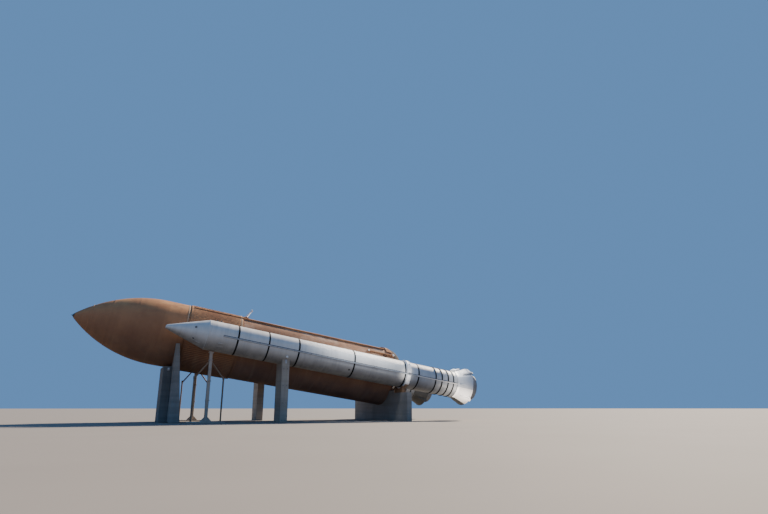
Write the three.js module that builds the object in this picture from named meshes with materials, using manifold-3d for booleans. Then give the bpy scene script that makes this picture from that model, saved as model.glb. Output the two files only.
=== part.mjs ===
// Space rocket stack at half size: a foam-covered propellant tank with two strap-on
// solid boosters, lying nose up on its display piers. Millimetres, +Z up.
import * as THREE from 'three';
import { mergeVertices } from 'three/addons/utils/BufferGeometryUtils.js';
import Module from 'manifold-3d';

const wasm = await Module();
wasm.setup();

// Driving dimensions. Stations run aft along the stack's own X, from each body's tip.
const halfTurn = Math.PI;
const tilt = THREE.MathUtils.degToRad(8.577);
const tipHeight = 6415;
const gap = 0.3;

const tank = {
  radius: 2110, cap: 200, ogive: 5315, flangeFore: 6560, fore: 6750,
  aft: 10175, end: 21580, dome: 1290, facets: 40,
};
const booster = {
  tip: 5345, offset: 3180, radius: 927.5, cap: 950, capRadius: 432, frustum: 2475,
  skirt: 4225, joint2: 8200, joint3: 12150, joint4: 16075, end: 20600, facets: 24,
};
const nozzle = {
  pivot: 21020, exit: 22150, exitRadius: 950, throat: 21250, throatRadius: 220, wall: 45, rim: 70,
};
// Where the aft end of the last motor segment turns in, and the radius it turns in to
const shoulder = { length: 160, radius: 830 };
const swell = 1.0004;

// Materials, one per kind of finish
const finish = (color, roughness, metalness) =>
  new THREE.MeshStandardMaterial({ color, roughness, metalness });
const foam = finish(0xb5764c, 0.95, 0);
const darkFoam = finish(0x6a4a3a, 0.95, 0);
const white = finish(0xe6e2da, 0.5, 0);
const brightWhite = finish(0xf4f3ee, 0.45, 0);
const grey = finish(0x5f6468, 0.6, 0.1);
const rubber = finish(0x2b2b2d, 0.8, 0);
const steel = finish(0x9aa0a3, 0.5, 0.6);
const carbon = finish(0x9a9c9e, 0.6, 0.1);
const concrete = finish(0x8b8b86, 0.9, 0);
const timber = finish(0x8a5a3c, 0.85, 0);

// Geometry helpers
function toSolid(geometry) {
  const bare = geometry.clone();
  bare.deleteAttribute('normal');
  bare.deleteAttribute('uv');
  const merged = mergeVertices(bare, 0.001);
  const order = merged.index.array;
  const kept = [];
  for (let i = 0; i < order.length; i += 3) {
    const [a, b, c] = [order[i], order[i + 1], order[i + 2]];
    if (a !== b && b !== c && c !== a) {
      kept.push(a, b, c);
    }
  }
  return new wasm.Manifold(new wasm.Mesh({
    numProp: 3,
    vertProperties: new Float32Array(merged.attributes.position.array),
    triVerts: new Uint32Array(kept),
  }));
}

function toGeometry(solid) {
  const mesh = solid.getMesh();
  const geometry = new THREE.BufferGeometry();
  geometry.setAttribute('position', new THREE.BufferAttribute(mesh.vertProperties, 3));
  geometry.setIndex(new THREE.BufferAttribute(mesh.triVerts, 1));
  return geometry;
}

function join(first, ...others) {
  let solid = toSolid(first);
  for (const other of others) {
    solid = solid.add(toSolid(other));
  }
  return toGeometry(solid);
}

function cut(first, ...others) {
  let solid = toSolid(first);
  for (const other of others) {
    solid = solid.subtract(toSolid(other));
  }
  return toGeometry(solid);
}

// A solid of revolution about X. Rows are [station, radius], from the fore end aft.
function turned(rows, facets) {
  const points = rows.map(([station, radius]) => new THREE.Vector2(radius, station));
  return new THREE.LatheGeometry(points, facets).rotateZ(-halfTurn / 2);
}

// The same shape a little fatter about X, used to cut what rests on it.
function swollen(geometry) {
  return geometry.clone().scale(1, swell, swell);
}

function block(x0, x1, y0, y1, z0, z1) {
  const box = new THREE.BoxGeometry(x1 - x0, y1 - y0, z1 - z0);
  return box.translate((x0 + x1) / 2, (y0 + y1) / 2, (z0 + z1) / 2);
}

// Two distances from the middle plane, put on one side of it, the lower first.
function onSide(side, near, far) {
  return [side * near, side * far].sort((p, q) => p - q);
}

// The two ends of a length by its middle and half.
function span(middle, half) {
  return [middle - half, middle + half];
}

// A prism along Y from an outline of [x, z] points.
function prismY(outline, y0, y1) {
  const shape = new THREE.Shape(outline.map(([x, z]) => new THREE.Vector2(x, z)));
  const solid = new THREE.ExtrudeGeometry(shape, { depth: y1 - y0, bevelEnabled: false });
  return solid.rotateX(halfTurn / 2).translate(0, y1, 0);
}

// A prism along X from an outline of [y, z] points.
function prismX(outline, x0, x1) {
  const shape = new THREE.Shape(outline.map(([y, z]) => new THREE.Vector2(y, z)));
  const solid = new THREE.ExtrudeGeometry(shape, { depth: x1 - x0, bevelEnabled: false });
  return solid.rotateY(halfTurn / 2).rotateX(halfTurn / 2).translate(x0, 0, 0);
}

// A round rod between two points.
function rod(from, to, radius, sides = 8) {
  const start = new THREE.Vector3(...from);
  const end = new THREE.Vector3(...to);
  const along = end.clone().sub(start);
  const upright = new THREE.Vector3(0, 1, 0);
  const turn = new THREE.Quaternion().setFromUnitVectors(upright, along.clone().normalize());
  const middle = start.clone().add(end).multiplyScalar(0.5);
  return new THREE.CylinderGeometry(radius, radius, along.length(), sides)
    .applyQuaternion(turn).translate(middle.x, middle.y, middle.z);
}

// A pipe along straight runs with rounded corners.
function pipe(points, radius, sides, steps) {
  const path = new THREE.CatmullRomCurve3(points.map((p) => new THREE.Vector3(...p)), false, 'centripetal');
  const ring = new THREE.Shape();
  for (let i = 0; i < sides; i += 1) {
    const angle = (i * 2 * halfTurn) / sides;
    const [x, y] = [radius * Math.cos(angle), radius * Math.sin(angle)];
    if (i === 0) {
      ring.moveTo(x, y);
    } else {
      ring.lineTo(x, y);
    }
  }
  return new THREE.ExtrudeGeometry(ring, { steps, extrudePath: path, bevelEnabled: false });
}

// A point at an angle from the top towards +Y, at a radius from the tank's axis.
function around(station, degrees, radius) {
  const angle = THREE.MathUtils.degToRad(degrees);
  return [station, radius * Math.sin(angle), radius * Math.cos(angle)];
}

const stack = new THREE.Group();
stack.rotation.y = tilt;
stack.position.z = tipHeight;
const assembly = new THREE.Group();
assembly.add(stack);

function addTo(parent, name, geometry, material) {
  const mesh = new THREE.Mesh(geometry, material);
  mesh.name = name;
  parent.add(mesh);
  return mesh;
}

// Tank: pointed cap, ogive and forward barrel, ribbed middle, aft barrel with its dome
const ogiveArc = (tank.radius ** 2 + tank.ogive ** 2) / (2 * tank.radius);
const ogiveRadius = (station) =>
  Math.sqrt(ogiveArc ** 2 - (tank.ogive - station) ** 2) - (ogiveArc - tank.radius);
const ring = { proud: 14, width: 90 };

const spike = { length: 70, tip: 12, root: 20 };
const capRows = [
  [0, 0], [0, spike.tip], [spike.length, spike.root], [tank.cap - gap, ogiveRadius(tank.cap)],
  [tank.cap - gap, 0],
];
addTo(stack, 'tank_nose_cap', turned(capRows, 24), rubber);

const foreRows = [[tank.cap, 0]];
const ogiveSteps = 11;
for (let i = 0; i <= ogiveSteps; i += 1) {
  const station = tank.cap + ((tank.ogive - tank.cap) * i) / ogiveSteps;
  foreRows.push([station, ogiveRadius(station)]);
}
foreRows.push(
  [tank.flangeFore, tank.radius], [tank.flangeFore, tank.radius + ring.proud],
  [tank.flangeFore + ring.width, tank.radius + ring.proud], [tank.flangeFore + ring.width, tank.radius],
  [tank.fore - gap, tank.radius], [tank.fore - gap, 0],
);
const foreTank = turned(foreRows, tank.facets);
addTo(stack, 'forward_tank', foreTank, foam);

const ribs = { count: 108, floor: 25, proud: 60, crest: 0.42, smooth: 14 };
function ribOutline() {
  const pitch = 360 / ribs.count;
  const outline = [];
  for (let i = 0; i < ribs.count; i += 1) {
    const middle = i * pitch;
    const offSide = Math.abs(Math.abs(((middle + 180) % 360) - 180) - 90);
    const crest = tank.radius + ribs.proud;
    const skin = offSide > ribs.smooth ? tank.radius + ribs.floor : crest;
    const half = (pitch * ribs.crest) / 2;
    const foot = half * 1.35;
    outline.push(around(0, middle - foot, skin), around(0, middle - half, crest));
    outline.push(around(0, middle + half, crest), around(0, middle + foot, skin));
  }
  return outline.map(([, y, z]) => [y, z]).reverse();
}
const middleSection = prismX(ribOutline(), tank.fore, tank.aft - gap);
addTo(stack, 'intertank', middleSection, foam);

// The dome's outline, with room around it where it is used to cut a seat
function domeRows(room) {
  const steps = 7;
  const rows = [];
  for (let i = 0; i < steps; i += 1) {
    const angle = (i / steps) * (halfTurn / 2);
    rows.push([tank.end + room + tank.dome * Math.sin(angle), (tank.radius + room) * Math.cos(angle)]);
  }
  return [...rows, [tank.end + room + tank.dome, 0]];
}
const aftTank = turned([
  [tank.aft, 0], [tank.aft, tank.radius], [tank.end - ring.width, tank.radius],
  [tank.end - ring.width, tank.radius + ring.proud], [tank.end, tank.radius + ring.proud],
  ...domeRows(0),
], tank.facets);
addTo(stack, 'aft_tank', aftTank, foam);

// What the tank's fittings are cut to: its barrels, and the ribbed section's crests
const crestFacets = 60;
const crestRadius = (tank.radius + ribs.proud + 0.5) / Math.cos(halfTurn / crestFacets);
const crests = turned(
  [[tank.fore, 0], [tank.fore, crestRadius], [tank.aft, crestRadius], [tank.aft, 0]], crestFacets,
);
const tankBodies = [swollen(foreTank), crests, swollen(aftTank)];

// How far a fitting reaches into the tank before it is cut to the tank's surface
const rooted = tank.radius - 60;

// Lines along the top of the tank: the feedline on its standoffs and the cable tray
const feedline = {
  angle: 22, radius: 110, standoff: 190, start: 9700, end: 20790,
  brackets: 7, bracketFrom: 10675, bracketTo: 20290, bracketHalf: 45, bracketAcross: 70,
};
const feedRadius = tank.radius + feedline.standoff;
const feedFore = [
  around(feedline.start, feedline.angle, tank.radius + 30),
  around(feedline.start + 140, feedline.angle, feedRadius - 30),
  around(feedline.start + 420, feedline.angle, feedRadius),
];
const feedAft = [
  around(feedline.end - 400, feedline.angle, feedRadius),
  around(feedline.end - 150, feedline.angle, feedRadius - 20),
  around(feedline.end, feedline.angle, feedRadius - 120),
  around(feedline.end + 40, feedline.angle, tank.radius - 40),
];
const feedPipe = join(
  pipe(feedFore, feedline.radius, 10, 6),
  rod(feedFore[2], feedAft[0], feedline.radius, 10),
  pipe(feedAft, feedline.radius, 10, 8),
);
const feedBrackets = [];
for (let i = 0; i < feedline.brackets; i += 1) {
  const reach = feedline.bracketTo - feedline.bracketFrom;
  const station = feedline.bracketFrom + (reach * i) / (feedline.brackets - 1);
  const bracket = block(
    ...span(station, feedline.bracketHalf), ...span(0, feedline.bracketAcross), rooted, feedRadius - 30,
  );
  feedBrackets.push(bracket.rotateX(THREE.MathUtils.degToRad(-feedline.angle)));
}
addTo(stack, 'feedline', cut(join(feedPipe, ...feedBrackets), ...tankBodies), foam);

const tray = { angle: -30, width: 90, height: 110, start: 6900, end: 20940 };
const trayBox = block(
  tray.start, tray.end, -tray.width / 2, tray.width / 2, rooted, tank.radius + tray.height,
);
trayBox.rotateX(THREE.MathUtils.degToRad(-tray.angle));
addTo(stack, 'cable_tray', cut(trayBox, ...tankBodies), darkFoam);

// Forward bipod: two struts from the tank to the apex fitting above it
const bipod = { foot: 10420, apex: 10800, spread: 15, rise: 620, radius: 55, head: 85, headHalf: 60 };
const bipodApex = [bipod.apex, 0, tank.radius + bipod.rise];
const bipodLegs = [-1, 1].map((side) =>
  rod(around(bipod.foot, side * bipod.spread, tank.radius - 20), bipodApex, bipod.radius));
const bipodHead = rod(
  [bipod.apex - bipod.headHalf, 0, bipodApex[2]], [bipod.apex + bipod.headHalf, 0, bipodApex[2]], bipod.head,
);
addTo(stack, 'forward_bipod', cut(join(...bipodLegs, bipodHead), ...tankBodies), brightWhite);

// Aft attach rails, each with a block at both ends and a junction box beside it
const rail = { fore: 19450, aft: 21485, angle: 49, width: 110, height: 140, block: 190 };
const junctionBox = { station: 20800, half: 130, near: 20, far: 190, height: 110 };
for (const [sideName, side] of [['left', -1], ['right', 1]]) {
  const upright = (x0, x1, y0, y1, top) => block(x0, x1, y0, y1, rooted, tank.radius + top);
  const bar = upright(rail.fore, rail.aft, -rail.width / 2, rail.width / 2, rail.height);
  const ends = [rail.fore, rail.aft].map((station) =>
    upright(...span(station, rail.block / 2), ...span(0, rail.block / 2), rail.block));
  const junction = upright(
    ...span(junctionBox.station, junctionBox.half), ...onSide(side, junctionBox.near, junctionBox.far),
    junctionBox.height,
  );
  const turn = THREE.MathUtils.degToRad(-side * rail.angle);
  const whole = join(bar, ...ends, junction).rotateX(turn);
  addTo(stack, `aft_rail_${sideName}`, cut(whole, ...tankBodies), foam);
}

// Low crossbeam fairing over the top of the tank between the rails
const beam = { fore: 20990, aft: 21485, slope: 90, proud: 75, floor: 1700 };
const beamInner = tank.radius * swell + 0.1;
const beamBand = turned([
  [beam.fore, beamInner], [beam.fore + beam.slope, tank.radius + beam.proud],
  [beam.aft - beam.slope, tank.radius + beam.proud], [beam.aft, beamInner], [beam.fore, beamInner],
], tank.facets);
const reachOut = 2 * tank.radius;
const beamBelow = block(beam.fore - 1, beam.aft + 1, -reachOut, reachOut, -reachOut, beam.floor);
addTo(stack, 'aft_crossbeam', cut(beamBand, beamBelow), foam);

// Boosters. Case outline by station, with the proud bands at the joints.
const band = { width: 60, proud: 8 };
function banded(rows, station, width, proud) {
  const outer = booster.radius + proud;
  rows.push([station - width / 2, booster.radius], [station - width / 2, outer]);
  rows.push([station + width / 2, outer], [station + width / 2, booster.radius]);
}
// Motor segments: name, fore end, aft end, extra bands as [station, width, proud]
const segments = [
  { name: 'motor_segment_1', from: booster.skirt, to: booster.joint2, bands: [[6225, 50, 8]] },
  { name: 'motor_segment_2', from: booster.joint2, to: booster.joint3, bands: [] },
  { name: 'motor_segment_3', from: booster.joint3, to: booster.joint4, bands: [] },
  {
    name: 'motor_segment_4',
    from: booster.joint4,
    to: booster.end,
    bands: [[17300, 60, 10], [18750, 60, 36], [19275, 60, 36], [19800, 60, 36], [20250, 60, 36]],
  },
];
const boss = { start: 20950, face: 20980, radius: 500, socket: 415 };

// The case's outline with room for its bands, for what is cut to it
function caseEnvelope() {
  const low = booster.radius + 10.5;
  const rows = [[booster.skirt - gap, 0], [booster.skirt - gap, low]];
  for (const [station, width, proud] of segments[3].bands.slice(1)) {
    const high = booster.radius + proud + 0.5;
    rows.push([station - width / 2 - 0.5, low], [station - width / 2 - 0.5, high]);
    rows.push([station + width / 2 + 0.5, high], [station + width / 2 + 0.5, low]);
  }
  rows.push([booster.end, low], [booster.end, 0]);
  return turned(rows, booster.facets);
}

function segmentSolid({ from, to, bands }) {
  const outer = booster.radius + band.proud;
  const rows = [[from, 0], [from, outer], [from + band.width, outer], [from + band.width, booster.radius]];
  for (const [station, width, proud] of bands) {
    banded(rows, station, width, proud);
  }
  if (to < booster.end) {
    rows.push([to - gap, booster.radius], [to - gap, 0]);
    return turned(rows, booster.facets);
  }
  rows.push([to, booster.radius], [to + shoulder.length, shoulder.radius]);
  rows.push([boss.start, boss.radius], [boss.face, boss.radius]);
  const lip = Math.sqrt(boss.socket ** 2 - (nozzle.pivot - boss.face) ** 2);
  const lipAngle = Math.atan2(lip, nozzle.pivot - boss.face);
  const steps = 5;
  for (let i = 0; i <= steps; i += 1) {
    const angle = lipAngle * (1 - i / steps);
    const radius = i === steps ? 0 : boss.socket * Math.sin(angle);
    rows.push([nozzle.pivot - boss.socket * Math.cos(angle), radius]);
  }
  return turned(rows, booster.facets);
}

const skirt = {
  collar: 20450, collarRadius: 966, cone: 20640, aft: 21550, aftRadius: 1345,
  wall: 45, bore: booster.radius * swell + 0.4,
};
const wallStart = skirt.cone + 40;
// Hold-down posts: their angles, and their outline against the skirt's cone
const post = { angles: [45, 135, 225, 315], width: 230, proud: 85, overhang: 60, root: 40, start: 260 };
// Separation motors lying on the skirt's cone, by their angle from the top towards the tank
const sepMotor = { angles: [10, 24, 38, 52], radius: 85, fore: 20790, aft: 21200, rise: 70 };
const coneSlope = (skirt.aftRadius - skirt.collarRadius) / (skirt.aft - skirt.cone);
const coneAt = (station) => skirt.collarRadius + coneSlope * (station - skirt.cone);

function aftSkirt(side) {
  const shell = turned([
    [skirt.collar, skirt.bore], [skirt.collar, skirt.collarRadius], [skirt.cone, skirt.collarRadius],
    [skirt.aft, skirt.aftRadius], [skirt.aft, skirt.aftRadius - skirt.wall], [wallStart, skirt.bore],
    [skirt.collar, skirt.bore],
  ], booster.facets);
  const postFore = skirt.cone + post.start;
  const topRadius = skirt.aftRadius + post.proud;
  const rootRadius = skirt.aftRadius - post.root;
  const postSolid = prismY([
    [postFore, coneAt(postFore) + post.root],
    [skirt.aft - post.overhang, topRadius], [skirt.aft + post.overhang, topRadius],
    [skirt.aft + post.overhang, rootRadius], [skirt.aft - post.overhang / 2, rootRadius],
    [postFore + post.root, coneAt(postFore) + 1],
  ], -post.width / 2, post.width / 2);
  const posts = post.angles.map((degrees) => postSolid.clone().rotateX(THREE.MathUtils.degToRad(degrees)));
  const motors = sepMotor.angles.map((degrees) => rod(
    around(sepMotor.fore, -side * degrees, coneAt(sepMotor.fore) + sepMotor.rise),
    around(sepMotor.aft, -side * degrees, coneAt(sepMotor.aft) + sepMotor.rise), sepMotor.radius,
  ));
  return join(shell, ...posts, ...motors);
}

// Heat curtain across the skirt, open in the middle for the moving nozzle
const heatShield = { fore: 21260, thick: 40, dish: 30, innerRadius: 675 };
function curtain() {
  const { fore, thick, dish, innerRadius } = heatShield;
  const wallRise = (skirt.aftRadius - skirt.wall - skirt.bore) / (skirt.aft - wallStart);
  const outerAt = (station) => skirt.bore + wallRise * (station - wallStart) - 1;
  const rows = [
    [fore, outerAt(fore)], [fore + thick, outerAt(fore + thick)],
    [fore + thick + dish, innerRadius], [fore + dish, innerRadius],
  ];
  return turned([...rows, rows[0]], booster.facets);
}

// Swivel bearing: a spherical shell between the case's socket and the nozzle's ball
const bearing = { inner: 345, outer: 400, ball: 330, rim: 78 };
function arcRows(radius, fromDegrees, toDegrees, steps) {
  const rows = [];
  for (let i = 0; i <= steps; i += 1) {
    const angle = THREE.MathUtils.degToRad(fromDegrees + ((toDegrees - fromDegrees) * i) / steps);
    rows.push([nozzle.pivot - radius * Math.cos(angle), angle === 0 ? 0 : radius * Math.sin(angle)]);
  }
  return rows;
}
function bearingShell() {
  const rows = [...arcRows(bearing.outer, 0, bearing.rim, 5), ...arcRows(bearing.inner, bearing.rim, 0, 5)];
  return turned(rows, booster.facets);
}
// The bell by station: its outer radius, and the inner one where the bell is hollow
const bellRows = [
  { station: 21120, outer: 385 },
  { station: 21450, outer: 610, inner: 470 },
  { station: 21900, outer: 850, inner: 795 },
  { station: nozzle.exit - nozzle.rim, outer: 928 },
];
function nozzleBell() {
  const outside = bellRows.map(({ station, outer }) => [station, outer]);
  const hollow = bellRows.filter(({ inner }) => inner);
  const inside = hollow.map(({ station, inner }) => [station, inner]).reverse();
  return turned([
    ...arcRows(bearing.ball, 0, 90, 5), ...outside,
    [nozzle.exit - nozzle.rim, nozzle.exitRadius], [nozzle.exit, nozzle.exitRadius],
    [nozzle.exit, nozzle.exitRadius - nozzle.wall], ...inside,
    [nozzle.throat, nozzle.throatRadius], [nozzle.throat, 0],
  ], booster.facets);
}

const attachRing = { station: 16375, width: 300, proud: 100, edge: 30, strutLead: 80 };
function attachRingSolid() {
  const { station, width, proud, edge } = attachRing;
  const inner = booster.radius * swell + 0.1;
  const outer = booster.radius + proud;
  const fore = station - width / 2;
  const aft = station + width / 2;
  return turned([
    [fore, inner], [fore, outer - edge], [fore + edge, outer], [aft - edge, outer], [aft, outer - edge],
    [aft, inner], [fore, inner],
  ], booster.facets);
}

// Round ports in the frustum, as a station and an angle up from the outboard side
const ports = [{ station: 1675, angle: 21 }, { station: 1675, angle: -41 }];
const frustumSlope = (booster.radius - booster.capRadius) / (booster.frustum - booster.cap);
const port = { radius: 70, depth: 60 };
function portCutter(side, { station, angle }) {
  const across = booster.capRadius + frustumSlope * (station - booster.cap);
  const plug = new THREE.CylinderGeometry(port.radius, port.radius, 2 * port.depth, 16);
  plug.rotateZ(Math.atan(frustumSlope)).translate(station, across, 0);
  const up = THREE.MathUtils.degToRad(angle);
  return plug.rotateX(side > 0 ? up : halfTurn - up);
}

const tunnel = { start: 3350, width: 110, top: booster.radius + 48 };
const thrust = { station: 9400, half: 70, up: 90, reach: 2300, padHalf: 150, padUp: 170, pad: 60 };
for (const [sideName, side] of [['left', -1], ['right', 1]]) {
  const own = new THREE.Group();
  own.position.set(booster.tip, side * booster.offset, 0);
  stack.add(own);
  const name = (plain) => `${plain}_${sideName}`;

  const noseRows = [
    [0, 0], [14, 70], [60, 130], [booster.cap - gap, booster.capRadius], [booster.cap - gap, 0],
  ];
  addTo(own, name('nose_cap'), turned(noseRows, booster.facets), white);
  const frustumRows = [
    [booster.cap, 0], [booster.cap, booster.capRadius], [booster.frustum - gap, booster.radius],
    [booster.frustum - gap, 0],
  ];
  const cutters = ports.map((place) => portCutter(side, place));
  const frustum = cut(turned(frustumRows, booster.facets), ...cutters);
  addTo(own, name('frustum'), frustum, white);
  const skirtRows = [[booster.frustum, 0], [booster.frustum, booster.radius]];
  skirtRows.push([booster.skirt - gap, booster.radius], [booster.skirt - gap, 0]);
  const foreSkirt = turned(skirtRows, booster.facets);
  addTo(own, name('forward_skirt'), foreSkirt, white);

  for (const segment of segments) {
    const solid = segmentSolid(segment);
    addTo(own, name(segment.name), solid, white);
  }
  const fatBodies = [swollen(foreSkirt), caseEnvelope()];

  const [tunnelLow, tunnelHigh] = onSide(side, booster.radius - 60, tunnel.top);
  const tunnelBox = (slack) => block(
    tunnel.start, skirt.collar - 1, tunnelLow - slack, tunnelHigh + slack,
    -tunnel.width / 2 - slack, tunnel.width / 2 + slack,
  );
  const ringSolid = attachRingSolid();
  addTo(own, name('systems_tunnel'), cut(tunnelBox(0), ...fatBodies), grey);
  addTo(own, name('attach_ring'), cut(ringSolid, tunnelBox(2)), brightWhite);
  addTo(own, name('aft_skirt'), aftSkirt(side), white);
  addTo(own, name('heat_curtain'), curtain(), grey);
  addTo(own, name('swivel_bearing'), bearingShell(), rubber);
  addTo(own, name('nozzle'), nozzleBell(), carbon);

  // Forward thrust fitting between the ribbed section and the booster
  const inOwnFrame = (geometry) => geometry.clone().translate(booster.tip, side * booster.offset, 0);
  const fatInStack = [...fatBodies, swollen(ringSolid)].map(inOwnFrame);
  const fitting = join(
    block(
      ...span(thrust.station, thrust.half), ...onSide(side, rooted, thrust.reach),
      ...span(0, thrust.up),
    ),
    block(
      ...span(thrust.station, thrust.padHalf), ...onSide(side, rooted, tank.radius + thrust.pad),
      ...span(0, thrust.padUp),
    ),
  );
  addTo(stack, name('forward_thrust_fitting'), cut(fitting, ...tankBodies, ...fatInStack), brightWhite);

  // Aft struts between the attach ring and the tank's last frame. Angles are from the top.
  const strutStation = booster.tip + attachRing.station - attachRing.strutLead;
  const reach = booster.radius + 20;
  const strutTable = [
    { place: 'upper', onTank: 62, onBooster: 48, radius: 60 },
    { place: 'lower', onTank: 118, onBooster: 132, radius: 60 },
  ];
  for (const { place, onTank, onBooster, radius } of strutTable) {
    const angle = THREE.MathUtils.degToRad(onBooster);
    const from = around(strutStation, side * onTank, tank.radius - 30);
    const to = [strutStation, side * (booster.offset - reach * Math.sin(angle)), reach * Math.cos(angle)];
    addTo(stack, name(`${place}_strut`), cut(rod(from, to, radius), ...tankBodies, ...fatInStack), foam);
  }
}

// Piers, in level axes with the tank's tip over x = 0. A seat is a round cut along the stack.
stack.updateMatrixWorld(true);
const seatLength = 24000;
function seat(side, radius, facets, aftEnd = [[seatLength, radius], [seatLength, 0]]) {
  const cutter = turned([[0, 0], [0, radius], ...aftEnd], facets);
  return cutter.translate(0, side * booster.offset, 0).applyMatrix4(stack.matrixWorld);
}
const ringRadius = tank.radius + ring.proud + 0.5;
const tankSeat = seat(0, ringRadius, tank.facets);
const shoulderSeat = seat(0, ringRadius, tank.facets, [[tank.end + 1, ringRadius], ...domeRows(1)]);
const ribbedSeat = seat(0, crestRadius, crestFacets);
const boosterSeat = (side, proud) => seat(side, booster.radius + proud + 0.5, booster.facets);

// Front pier: a U-shaped wall with a raked back, and a pedestal before it
const frontPier = { face: 6065, rearTop: 6275, rearFoot: 6690, half: 2500, top: 4715 };
const frontWall = prismY([
  [frontPier.face, 0], [frontPier.rearFoot, 0], [frontPier.rearTop, frontPier.top],
  [frontPier.face, frontPier.top],
], -frontPier.half, frontPier.half);
addTo(assembly, 'front_pier', cut(frontWall, ribbedSeat), concrete);
const pedestal = { face: 5560, half: 1250, top: 3390 };
const pedestalBlock = block(
  pedestal.face, frontPier.face - gap, -pedestal.half, pedestal.half, 0, pedestal.top,
);
addTo(assembly, 'front_pedestal', cut(pedestalBlock, tankSeat), concrete);

// Aft pier: one wall with seats for the tank's shoulder and for the boosters' attach rings
const aftPier = {
  face: 21060, back: 21420, half: 4560, endTop: 1915, inner: 2540, top: 2080,
};
const aftHalf = [
  [aftPier.half, 0], [aftPier.half, aftPier.endTop],
  [aftPier.inner, aftPier.endTop], [aftPier.inner, aftPier.top],
];
const aftMirror = aftHalf.map(([y, z]) => [-y, z]).reverse();
const aftWall = prismX([...aftHalf, ...aftMirror], aftPier.face, aftPier.back);
addTo(assembly, 'aft_pier', cut(aftWall, shoulderSeat), concrete);

// Under each booster: a concrete column, and further forward a steel prop with raking braces
const column = { face: 12415, back: 12890, inner: 2450, outer: 3850, top: 3880 };
const prop = {
  x: 8075, half: 90, foot: 20, top: 4400, brace: 3700, spread: 860, braceFoot: 2600, braceRadius: 45,
  legRadius: 50, lap: 100, base: 1100, baseHalf: 300, plate: 60,
};
const cradle = { half: 560, top: 2380, inset: 30 };
for (const [sideName, side] of [['left', -1], ['right', 1]]) {
  const middle = side * booster.offset;
  const cradleBlock = block(
    aftPier.face + cradle.inset, aftPier.back - cradle.inset, ...span(middle, cradle.half),
    aftPier.endTop + gap, cradle.top,
  );
  addTo(assembly, `cradle_${sideName}`, cut(cradleBlock, boosterSeat(side, attachRing.proud)), timber);
  const columnBlock = block(
    column.face, column.back, ...onSide(side, column.inner, column.outer), 0, column.top,
  );
  const columnCut = cut(columnBlock, boosterSeat(side, 0), tankSeat);
  addTo(assembly, `middle_pier_${sideName}`, columnCut, concrete);

  const parts = [
    block(...span(prop.x, prop.half), ...span(middle, prop.half), prop.foot, prop.top),
    block(...span(prop.x, prop.base), ...span(middle, prop.baseHalf), 0, prop.plate),
  ];
  for (const end of [-1, 1]) {
    const footX = prop.x + end * prop.spread;
    const knee = [footX, middle, prop.braceFoot];
    const legTop = [footX, middle, prop.braceFoot + prop.lap];
    parts.push(rod([prop.x, middle, prop.brace], knee, prop.braceRadius));
    parts.push(rod(legTop, [footX, middle, prop.plate / 2], prop.legRadius));
  }
  addTo(assembly, `prop_${sideName}`, cut(join(...parts), boosterSeat(side, 0)), steel);
}

// The origin is under the middle of the whole object, on the floor
const extent = new THREE.Box3().setFromObject(assembly, true);
assembly.position.set(-(extent.min.x + extent.max.x) / 2, 0, -extent.min.z);

export default assembly;
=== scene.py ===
"""Looks of the half-size space rocket stack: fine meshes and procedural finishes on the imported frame.

Metres. The stack's own frame has X along it towards the nozzles and Z away from the floor, and it
lies tilted in the row frame. Each booster's frame is the same, with its origin at the booster's tip.
"""
import math
from itertools import product

import bmesh
import bpy
from mathutils import Matrix, Vector, noise


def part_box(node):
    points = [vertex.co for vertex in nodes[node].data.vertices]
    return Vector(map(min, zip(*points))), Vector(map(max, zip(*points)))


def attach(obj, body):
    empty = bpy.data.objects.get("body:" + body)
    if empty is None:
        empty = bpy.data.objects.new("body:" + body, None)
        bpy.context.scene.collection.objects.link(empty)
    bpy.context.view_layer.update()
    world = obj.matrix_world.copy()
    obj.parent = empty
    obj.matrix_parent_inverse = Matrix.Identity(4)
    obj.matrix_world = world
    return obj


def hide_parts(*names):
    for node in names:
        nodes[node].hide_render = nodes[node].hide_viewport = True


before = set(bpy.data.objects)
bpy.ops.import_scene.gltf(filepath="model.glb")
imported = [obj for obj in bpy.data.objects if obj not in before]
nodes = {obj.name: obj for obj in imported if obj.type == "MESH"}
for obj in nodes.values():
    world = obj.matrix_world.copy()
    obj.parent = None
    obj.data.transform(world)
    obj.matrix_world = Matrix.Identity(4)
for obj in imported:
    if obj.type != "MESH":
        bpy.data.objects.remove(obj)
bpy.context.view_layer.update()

SIDES = (("left", -1), ("right", 1))
STEPS = 180  # facets of a full turn on the large bodies

# The stack's frame: its tilt, and its tip from the tank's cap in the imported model
TILT = math.radians(8.577)
TIP_HEIGHT = 6.415
CAP_TIP_RADIUS = 0.012
TIP = Vector((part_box("tank_nose_cap")[0][0] + CAP_TIP_RADIUS * math.sin(TILT), 0, TIP_HEIGHT))
STACK = Matrix.Translation(TIP) @ Matrix.Rotation(TILT, 4, "Y")

# Stations and radii from the part's source, in metres
TANK_R = 2.11
OGIVE = 5.315  # where the tank's nose becomes a barrel
CAP = 0.2  # where its metal cap ends
FORE = 6.75  # the ribbed intertank's ends
AFT = 10.175
TANK_END = 21.58
DOME = 1.29
RIB_PROUD = 0.06
BOOSTER_TIP = 5.345
BOOSTER_Y = 3.18
CASE_R = 0.9275
CAP_R = 0.432
CASE_CAP = 0.95  # where a booster's nose cap ends
FRUSTUM_END = 2.475
SKIRT_END = 4.225
CASE_END = 20.6
JOINTS = (SKIRT_END, 8.2, 12.15, 16.075)  # where each segment of the case starts
PIVOT = 21.02  # the nozzle's
GAP = 0.0003  # between one piece and the next

STAND = Matrix.Rotation(-math.pi / 2, 4, "Y")  # turns a shape made along X to stand along Z
ALONG_X = Matrix.Rotation(-math.pi / 2, 4, "Z")  # turns a prism drawn along Y to lie along X
ENDS = (-1, 1)
EDGE = 0.006  # the bevel of a rod's end


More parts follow.
